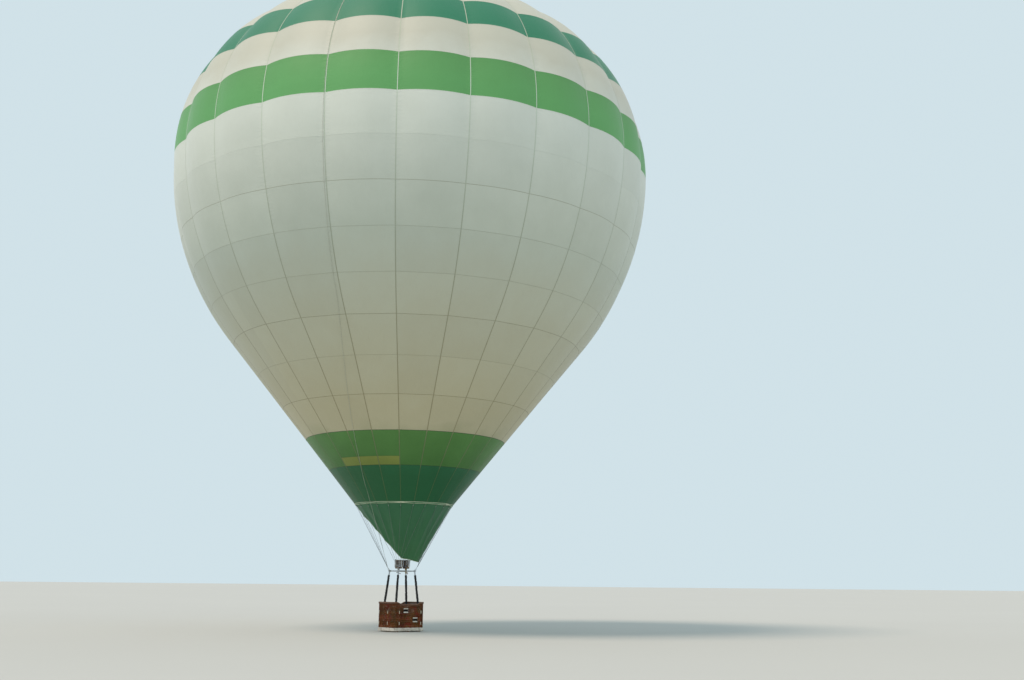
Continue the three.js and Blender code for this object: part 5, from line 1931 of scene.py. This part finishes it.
class BalloonWicker(bpy.types.Operator):
    """Weaves the basket's wall from rods round upright stakes, open at the two steps"""

    bl_idname = "balloon.wicker"
    bl_label = "Woven wall"
    rod_sides = 5
    stake_sides = 8

    def execute(self, context):
        choice = context.scene.balloon_basket
        finish = finish_of("cane", cane, choice.cane, choice.red_cane, paint("b98f5e"))
        stakes = 2 * round(PERIMETER / choice.stake_pitch / 2)
        rows = round((WALL_TOP - WALL_BOTTOM) / (choice.weaver + 0.0002))
        for name, numbers in (("lower", range(rows // 2)), ("upper", range(rows // 2, rows))):
            form, tones = Form(), []
            for row in numbers:
                self.weave(form, tones, row, rows, stakes, choice)
            wall = form.piece(f"wicker_{name}", finish, "balloon", "wicker", crease=None)
            keep_values(wall.data, rod=np.concatenate(tones))
            if name == "lower":
                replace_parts(wall, "basket_wicker")
        form, tones = Form(), []
        for number, (place, out) in enumerate(zip(*basket_line(np.arange(stakes) * PERIMETER / stakes))):
            self.stake(form, tones, place, out, number)
        posts = form.piece("wicker_stakes", finish, "balloon", "wicker", crease=None)
        keep_values(posts.data, rod=np.concatenate(tones))
        return {"FINISHED"}

    def weave(self, form, tones, row, rows, stakes, choice):
        """One rod round the basket, in front of and behind the stakes by turns."""
        samples = stakes * 3
        s = (np.arange(samples) + 0.5 * (row % 2)) * PERIMETER / samples
        place, out = basket_line(s)
        phase = s / (PERIMETER / stakes) * math.pi + row * math.pi
        reach = -WALL / 2 + choice.weave_out * np.cos(phase)
        share = (row + 0.5) / rows
        wobble = 0.0012 * np.sin(s * 9.0 + row * 2.7)
        z = WALL_BOTTOM + share * (WALL_TOP - dip_of(place) - WALL_BOTTOM) + wobble
        centre = np.concatenate([place + out * reach[:, None], z[:, None]], -1)
        radius = choice.weaver / 2 * (1 + 0.05 * np.sin(s * 3.1 + row))
        outward = np.concatenate([out, np.zeros((samples, 1))], -1)
        ring = round_ring(outward[:, None], np.array([0, 0, 1.0]), self.rod_sides, 0.25)
        rings = centre[:, None] + radius[:, None, None] * ring
        tone = (math.sin(row * 12.9898) * 43758.5453) % 1
        gone = np.array([in_step(spot, height, -0.002) for spot, height in zip(place, z)])
        if not gone.any():
            form.rings(rings, closed=True)
            tones.append(np.full(samples * self.rod_sides, tone))
            return
        order = np.roll(np.arange(samples), -int(np.argmax(gone)))
        for run in runs(order, ~gone[order]):
            form.rings(rings[run])
            tones.append(np.full(len(run) * self.rod_sides, tone))

    def stake(self, form, tones, place, out, number):
        """An upright stake, cut away where a step hole is."""
        base = place - out * WALL / 2
        heights = np.linspace(WALL_BOTTOM, WALL_TOP - dip_of(place), 24)
        kept = [not in_step(place, z, 0.0) for z in heights]
        for run in runs(heights, kept):
            form.tube([(*base, z) for z in run], 0.0052, self.stake_sides)
            tones.append(np.full(len(run) * self.stake_sides, (number * 0.377) % 1))


class BalloonRim(bpy.types.Operator):
    """Makes the padded rim with its lacing"""

    bl_idname = "balloon.rim"
    bl_label = "Padded rim"

    def execute(self, context):
        low, high = WALL_TOP + 0.0005, BASKET_TOP
        angle = TAU * (np.arange(22) + 0.5) / 22 - math.pi / 2
        cos, sin = np.cos(angle), np.sin(angle)
        outwards = -WALL / 2 + (WALL / 2 + 0.0135) * np.sign(cos) * np.abs(cos) ** 0.72
        heights = (low + high) / 2 + (high - low) / 2 * np.sign(sin) * np.abs(sin) ** 0.8
        rings = round_basket([(reach, z, 1) for reach, z in zip(outwards, heights)], 420)
        pinch = 1 - 0.035 * np.maximum(0, np.cos(turns(len(rings)) * 84)) ** 6
        centres = rings.mean(1, keepdims=True)
        form = Form()
        form.rings(centres + (rings - centres) * pinch[:, None, None], closed=True)
        finish = finish_of("suede", suede, context.scene.balloon_basket.suede, paint("8a6146"))
        rim = form.piece("rim_pad", finish, "balloon", "suede")
        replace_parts(rim, "basket_rim")
        self.lacing()
        return {"FINISHED"}

    def lacing(self):
        """Slanting stitches of leather lace that bind the rim to the wall's top rods."""
        form = Form()
        count = 190
        starts, outs = basket_line(np.arange(count) * PERIMETER / count)
        ends, _ = basket_line((np.arange(count) + 0.6) * PERIMETER / count)
        for start, end, out, top in zip(starts, ends, outs, WALL_TOP - dip_of(starts)):
            for side, sign in ((0.0035, 1), (-WALL - 0.0035, -1)):
                low = (*(start + out * side * 0.6), top - 0.014)
                middle = (*((start + end) / 2 + out * (side + sign * 0.004)), top + 0.001)
                high = (*(end + out * (side + sign * 0.006)), top + 0.016)
                form.tube([low, middle, high], 0.0021, 6)
        lace = finish_of("lace", suede, paint("5a3823"), paint("7d5a40"))
        form.piece("rim_lacing", lace, "balloon", "suede")


RUNNERS = ("runner_left", "runner_middle", "runner_right")
BOLTS_ALONG = (-0.45, -0.15, 0.15, 0.45)
BOLT_HEAD = [(0, 0.013), (0.6, 0.012), (1, 0.006)]
STRIP_LOW = FLOOR_LEVEL + 0.03
STRIP_HIGH = FLOOR_LEVEL + 0.15
TRIM_HALF = 0.100
TRIM_HEIGHT = 0.042
FLAP_HALF = 0.098
FLAP_DROP = 0.095
FLAP_RISE = 0.075


class BalloonBase(bpy.types.Operator):
    """Makes the hide strip, the floor, the runners and the trims of the steps"""

    bl_idname = "balloon.base"
    bl_label = "Basket base and steps"

    def execute(self, context):
        hide = finish_of("raw_hide", raw_hide, context.scene.balloon_basket.hide, paint("7c6a4e"))
        thread = finish_of("thread", woven, paint("8d7a5c"))
        self.strip(hide, thread)
        self.floor()
        self.step_trims(hide, thread)
        return {"FINISHED"}

    def strip(self, hide, thread):
        """Hide round the foot of the wall, sewn along both its edges."""
        section = [
            (0.0005, STRIP_LOW, 0), (0.005, STRIP_LOW, 0), (0.0075, STRIP_LOW + 0.003, 0),
            (0.0083, STRIP_LOW + 0.02, 0), (0.0083, STRIP_HIGH - 0.02, 0), (0.0078, STRIP_HIGH - 0.004, 0),
            (0.005, STRIP_HIGH, 0), (0.0005, STRIP_HIGH, 0),
        ]
        rings = round_basket(section, 360)
        k = np.arange(len(rings))[:, None]
        rings[:, 5:, 2] += 0.0015 * np.sin(k * 0.37) + 0.001 * np.sin(k * 1.13)
        form = Form()
        form.rings(rings, closed=True)
        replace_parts(form.piece("hide_strip", hide, "balloon", "hide"), "base_trim")
        form = Form()
        spots, outs = basket_line(np.arange(240) * PERIMETER / 240)
        for height in (STRIP_HIGH - 0.012, STRIP_LOW + 0.014):
            for spot, (x, y) in zip(spots, outs):
                out, half = np.array([x, y, 0]), np.array([-y, x, 0]) * 0.005
                middle = np.array([*spot, height]) + out * 0.0088
                form.tube([middle - half, middle + out * 0.0008, middle + half], 0.0012, 5)
        form.piece("strip_stitches", thread, "balloon", "hide")

    def floor(self):
        """The board and the runners keep their solids, with eased edges, and bolts hold them together."""
        ply = finish_of("plywood", timber, paint("b08b5c"), paint("7a5a36"), "X")
        wood = finish_of("runner_wood", timber, paint("94714a"), paint("5f452c"), "Y")
        self.eased_wood("basket_floor", ply, 0.003, 2)
        form = Form()
        for name in RUNNERS:
            self.eased_wood(name, wood, 0.006, 3)
            low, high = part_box(name)
            for y in BOLTS_ALONG:
                at = np.array([(low.x + high.x) / 2, y, BOARD_TOP])
                form.turned(BOLT_HEAD, at, at + (0, 0, 0.005), 20)
        form.piece("floor_bolts", finish_of("bolt_steel", brushed_metal, paint("a7a9ab")), "balloon", "steel")

    def eased_wood(self, name, finish, width, segments):
        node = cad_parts[name]
        node.data.materials.clear()
        node.data.materials.append(finish)
        ease = node.modifiers.new("eased_edge", "BEVEL")
        ease.width = width
        ease.segments = segments

    def step_trims(self, hide, thread):
        """Hide over the wall above and below each step, near-black leather at its sides and a near-black flap
        hung inside, painted shade that makes each hole look dark.
        """
        trims, stitches, bindings = Form(), Form(), Form()
        # near-black leather at the holes' sides and in the flaps is painted shade
        dark = finish_of("flap_leather", suede, paint("0f0b09"), paint("1c1410"))
        front, back = -BASKET_HALF[1] - 0.0065, -BASKET_HALF[1] + WALL + 0.006
        section = [
            (front + 0.004, TRIM_HEIGHT), (front + 0.0008, TRIM_HEIGHT - 0.002), (front, 0.006),
            (front + 0.003, 0), (front + 0.01, -0.0032), (back - 0.01, -0.0032), (back - 0.003, 0),
            (back, 0.006), (back - 0.0008, TRIM_HEIGHT - 0.002), (back - 0.004, TRIM_HEIGHT),
            (back - 0.005, 0.004), (front + 0.005, 0.004),
        ]
        for number, (x, z) in enumerate(STEPS):
            for sign in (-1, 1):
                lip = z + sign * (STEP_HALF[1] + 0.002)
                rings = []
                for along in np.linspace(-TRIM_HALF, TRIM_HALF, 25):
                    sag = 0.0012 * math.sin(along * 55 + number + sign)
                    rings.append([(x + along, y, lip + sign * rise + sag) for y, rise in section])
                trims.rings(rings)
                for height in (0.010, TRIM_HEIGHT - 0.007):
                    for along in np.arange(-TRIM_HALF + 0.008, TRIM_HALF - 0.004, 0.012):
                        start = np.array([x + along, front - 0.0004, lip + sign * height])
                        stitch = [start, start + (0.0035, -0.0006, 0), start + (0.007, 0, 0)]
                        stitches.tube(stitch, 0.001, 5)
                left, right = sorted((x + sign * (STEP_HALF[0] + 0.001), x + sign * (TRIM_HALF - 0.004)))
                low = (left, front + 0.0015, z - STEP_HALF[1])
                bindings.slab(low, (right, back - 0.001, z + STEP_HALF[1]), 0.005)
            self.flap(number, x, z, dark)
        trims.piece("step_trims", hide, "balloon", "hide")
        bindings.piece("step_bindings", dark, "balloon", "hide")
        stitches.piece("step_stitches", thread, "balloon", "hide")

    def flap(self, number, x, z, finish):
        """A soft near-black leather flap that a boot pushes aside, hung inside the wall over a step as painted
        shade in the hole.
        """
        u, v = np.meshgrid(np.linspace(-1, 1, 29), np.linspace(0, 1, 29))
        folds = 0.004 * np.sin(u * 7 + number) * v + 0.003 * np.sin(u * 13 + 2 * v)
        depth = -BASKET_HALF[1] + WALL + 0.012 + 0.016 * v ** 1.5 + folds
        height = z + FLAP_RISE - v * (FLAP_RISE + FLAP_DROP) - 0.004 * np.cos(u * 1.4) * v
        form = Form()
        form.grid(np.stack([x + u * FLAP_HALF, depth, height], -1))
        piece = form.piece(f"step_flap_{number + 1}", finish, "balloon", "hide", crease=None)
        thicken(piece, 0.003)


# Fuel cylinders

CYLINDER = [
    (0.104, 0.0), (0.110, 0.002), (0.110, 0.036), (0.118, 0.046), (0.133, 0.060), (0.142, 0.082),
    (0.145, 0.110), (0.145, 0.352), (0.1462, 0.355), (0.1462, 0.361), (0.145, 0.364), (0.145, 0.600),
    (0.142, 0.632), (0.133, 0.664), (0.118, 0.692), (0.098, 0.711), (0.095, 0.716), (0.095, 0.786),
    (0.093, 0.790), (0.087, 0.790), (0.085, 0.786), (0.085, 0.720), (0.060, 0.724), (0.028, 0.727),
    (0.028, 0.722), (0.010, 0.722), (0.010, 0.010), (0.098, 0.006),
]
VALVE_STEM = [(0, 0.020), (0.35, 0.020), (0.4, 0.013), (1, 0.013)]
VALVE_OUTLET = [(0, 0.011), (0.7, 0.011), (0.72, 0.014), (1, 0.014)]
VALVE_GAUGE = [(0, 0.009), (0.6, 0.009), (0.62, 0.017), (0.95, 0.017), (1, 0.015)]
BELT_HEIGHTS = (0.31, 0.6644)
BELT_RADIUS = 0.1475
BELT = (0.038, 0.0024)
WHEEL_RADIUS = 0.024


class BalloonCylinders(bpy.types.Operator):
    """Makes the fuel cylinders with their valves and belts"""

    bl_idname = "balloon.cylinders"
    bl_label = "Fuel cylinders"

    def execute(self, context):
        steel = finish_of("cylinder_steel", brushed_metal, paint("c2c4c6"), 0.3)
        base = BOARD_TOP + GAP
        valves, wheels, belts = Form(), Form(), Form()
        for name, (x, y) in CYLINDERS.items():
            form = Form()
            form.lathe(CYLINDER, (x, y, base), 64, closed=True)
            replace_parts(form.piece(f"cylinder_{name}", steel, "balloon", "cylinder"), f"fuel_cylinder_{name}")
            self.valve(valves, wheels, np.array([x, y, base + 0.724]))
            for height in BELT_HEIGHTS:
                self.belt(belts, x, y, FLOOR_LEVEL + height)
        valves.piece("cylinder_valves", brass(context), "balloon", "brass")
        wheel = finish_of("hand_wheel", moulded, paint("2c2f33"), 0.5)
        wheels.piece("valve_wheels", wheel, "balloon", "cover")
        belts.piece("cylinder_belts", finish_of("belt", woven, paint("c9c2ad")), "balloon", "tape")
        return {"FINISHED"}

    def valve(self, valves, wheels, at):
        """A valve with its outlet and gauge, and a hand wheel of four spokes."""
        side = math.copysign(1, at[0])
        valves.turned(VALVE_STEM, at, at + (0, 0, 0.046), 24)
        valves.turned(VALVE_OUTLET, at + (0, 0, 0.02), at + (0, 0.052, 0.02), 18)
        valves.turned(VALVE_GAUGE, at + (side * 0.02, -0.02, 0.01), at + (side * 0.05, -0.045, 0.024), 24)
        hub = at + (0, 0, 0.044)
        rim = WHEEL_RADIUS + 0.0015 * np.sin(turns(40) * 8)
        wheels.tube(circle(hub, rim, 40), 0.005, 10, closed=True)
        for end in circle(hub, WHEEL_RADIUS, 4):
            wheels.tube([hub, end], 0.0035, 8)

    def belt(self, form, x, y, z):
        """A belt round the cylinder with its buckle, joined to the wall by two short straps."""
        form.strap(circle((x, y, z), BELT_RADIUS, 48), polar(turns(48)), *BELT, closed=True)
        side = math.copysign(1, x)
        inner_wall = side * (BASKET_HALF[0] - WALL + 0.004)
        for offset in (-0.03, 0.03):
            ends = [(x + side * 0.138, y + offset, z), (inner_wall, y + offset, z)]
            form.strap(ends, (0, 1, 0), *BELT)
        buckle = np.array([x - side * 0.1495, y, z])
        form.strap([buckle - (0, 0.02, 0), buckle + (0, 0.02, 0)], (-side, 0, 0), 0.05, 0.005)


# A grab handle's line: sideways from its middle, inwards from the wall, and down
HANDLE_LINE = [
    (-0.09, -0.012, 0), (-0.085, 0.03, 0.012), (-0.045, 0.055, 0.035), (0, 0.06, 0.045),
    (0.045, 0.055, 0.035), (0.085, 0.03, 0.012), (0.09, -0.012, 0),
]

HANDLE_X = 0.36
HANDLE_HEIGHT = FLOOR_LEVEL + 0.78

# Where the straps inside the basket show through its wall, and the line of such a strap: outwards and up
TABS_ON_LONG_SIDES = (-0.45, 0.53)
TABS_ON_SHORT_SIDES = (-0.16, 0.43)
TAB_HEIGHTS = (0.31, 0.72)
TAB_LINE = [
    (-0.012, 0.056), (0.001, 0.048), (0.0035, 0.02), (0.0035, -0.02), (0.001, -0.048), (-0.012, -0.056),
]


class BalloonFittings(bpy.types.Operator):
    """Makes the grab handles and the small straps on the wall"""

    bl_idname = "balloon.fittings"
    bl_label = "Handles and straps"

    def execute(self, context):
        form = Form()
        for sx, sy in CORNERS.values():
            path = [
                (sx * HANDLE_X + along, sy * (BASKET_HALF[1] - WALL - inwards), HANDLE_HEIGHT - down)
                for along, inwards, down in HANDLE_LINE
            ]
            form.tube(smooth_path(path, 60), 0.009, 10)
        form.piece("grab_handles", finish_of("handle_rope", twisted_rope, paint("c9b68f")), "balloon", "tape")
        form = Form()
        for side in (-1, 1):
            for x in TABS_ON_LONG_SIDES:
                self.tabs(form, (x, side * BASKET_HALF[1]), (0, side))
            for y in TABS_ON_SHORT_SIDES:
                self.tabs(form, (side * BASKET_HALF[0], y), (side, 0))
        form.piece("wall_tabs", finish_of("tab_webbing", woven, paint("d8cdb4")), "balloon", "tape")
        return {"FINISHED"}

    def tabs(self, form, place, out):
        """Straps that come out through the weave, run down the wall and go back in."""
        out = np.array([*out, 0.0])
        for height in TAB_HEIGHTS:
            at = np.array([*place, FLOOR_LEVEL + height])
            path = [at + out * reach + (0, 0, rise) for reach, rise in TAB_LINE]
            form.strap(smooth_path(path, 22), out, 0.026, 0.0026)


class BalloonPanel(bpy.types.Panel):
    """Lists the balloon's parts and their sizes"""

    bl_idname = "VIEW3D_PT_balloon"
    bl_label = "Hot air balloon"
    bl_space_type = "VIEW_3D"
    bl_region_type = "UI"
    bl_category = "Balloon"

    def draw(self, context):
        column = self.layout.column(align=True)
        for maker in MAKERS:
            column.operator(maker.bl_idname)
        for name, group in SETTINGS.items():
            box = self.layout.box()
            box.label(text=group.bl_rna.name)
            for choice in group.__annotations__:
                box.prop(getattr(context.scene, name), choice)


SETTINGS = {
    "balloon_envelope": BalloonEnvelopeSettings,
    "balloon_rigging": BalloonRiggingSettings,
    "balloon_burner": BalloonBurnerSettings,
    "balloon_basket": BalloonBasketSettings,
    "balloon_stage": BalloonStageSettings,
}
MAKERS = (
    BalloonStage, BalloonEnvelope, BalloonTapes, BalloonCrown, BalloonMouth, BalloonWires, BalloonTapeLoops,
    BalloonFrame, BalloonBurner, BalloonPoles, BalloonWicker, BalloonRim, BalloonBase, BalloonCylinders,
    BalloonFittings,
)


def register():
    for group in (*SETTINGS.values(), *MAKERS, BalloonPanel):
        bpy.utils.register_class(group)
    for name, group in SETTINGS.items():
        setattr(bpy.types.Scene, name, bpy.props.PointerProperty(type=group))


def unregister():
    for name in SETTINGS:
        delattr(bpy.types.Scene, name)
    for group in reversed((*SETTINGS.values(), *MAKERS, BalloonPanel)):
        bpy.utils.unregister_class(group)


def main():
    register()
    for maker in MAKERS:
        category, action = maker.bl_idname.split(".")
        getattr(getattr(bpy.ops, category), action)()


if __name__ == "__main__":
    main()
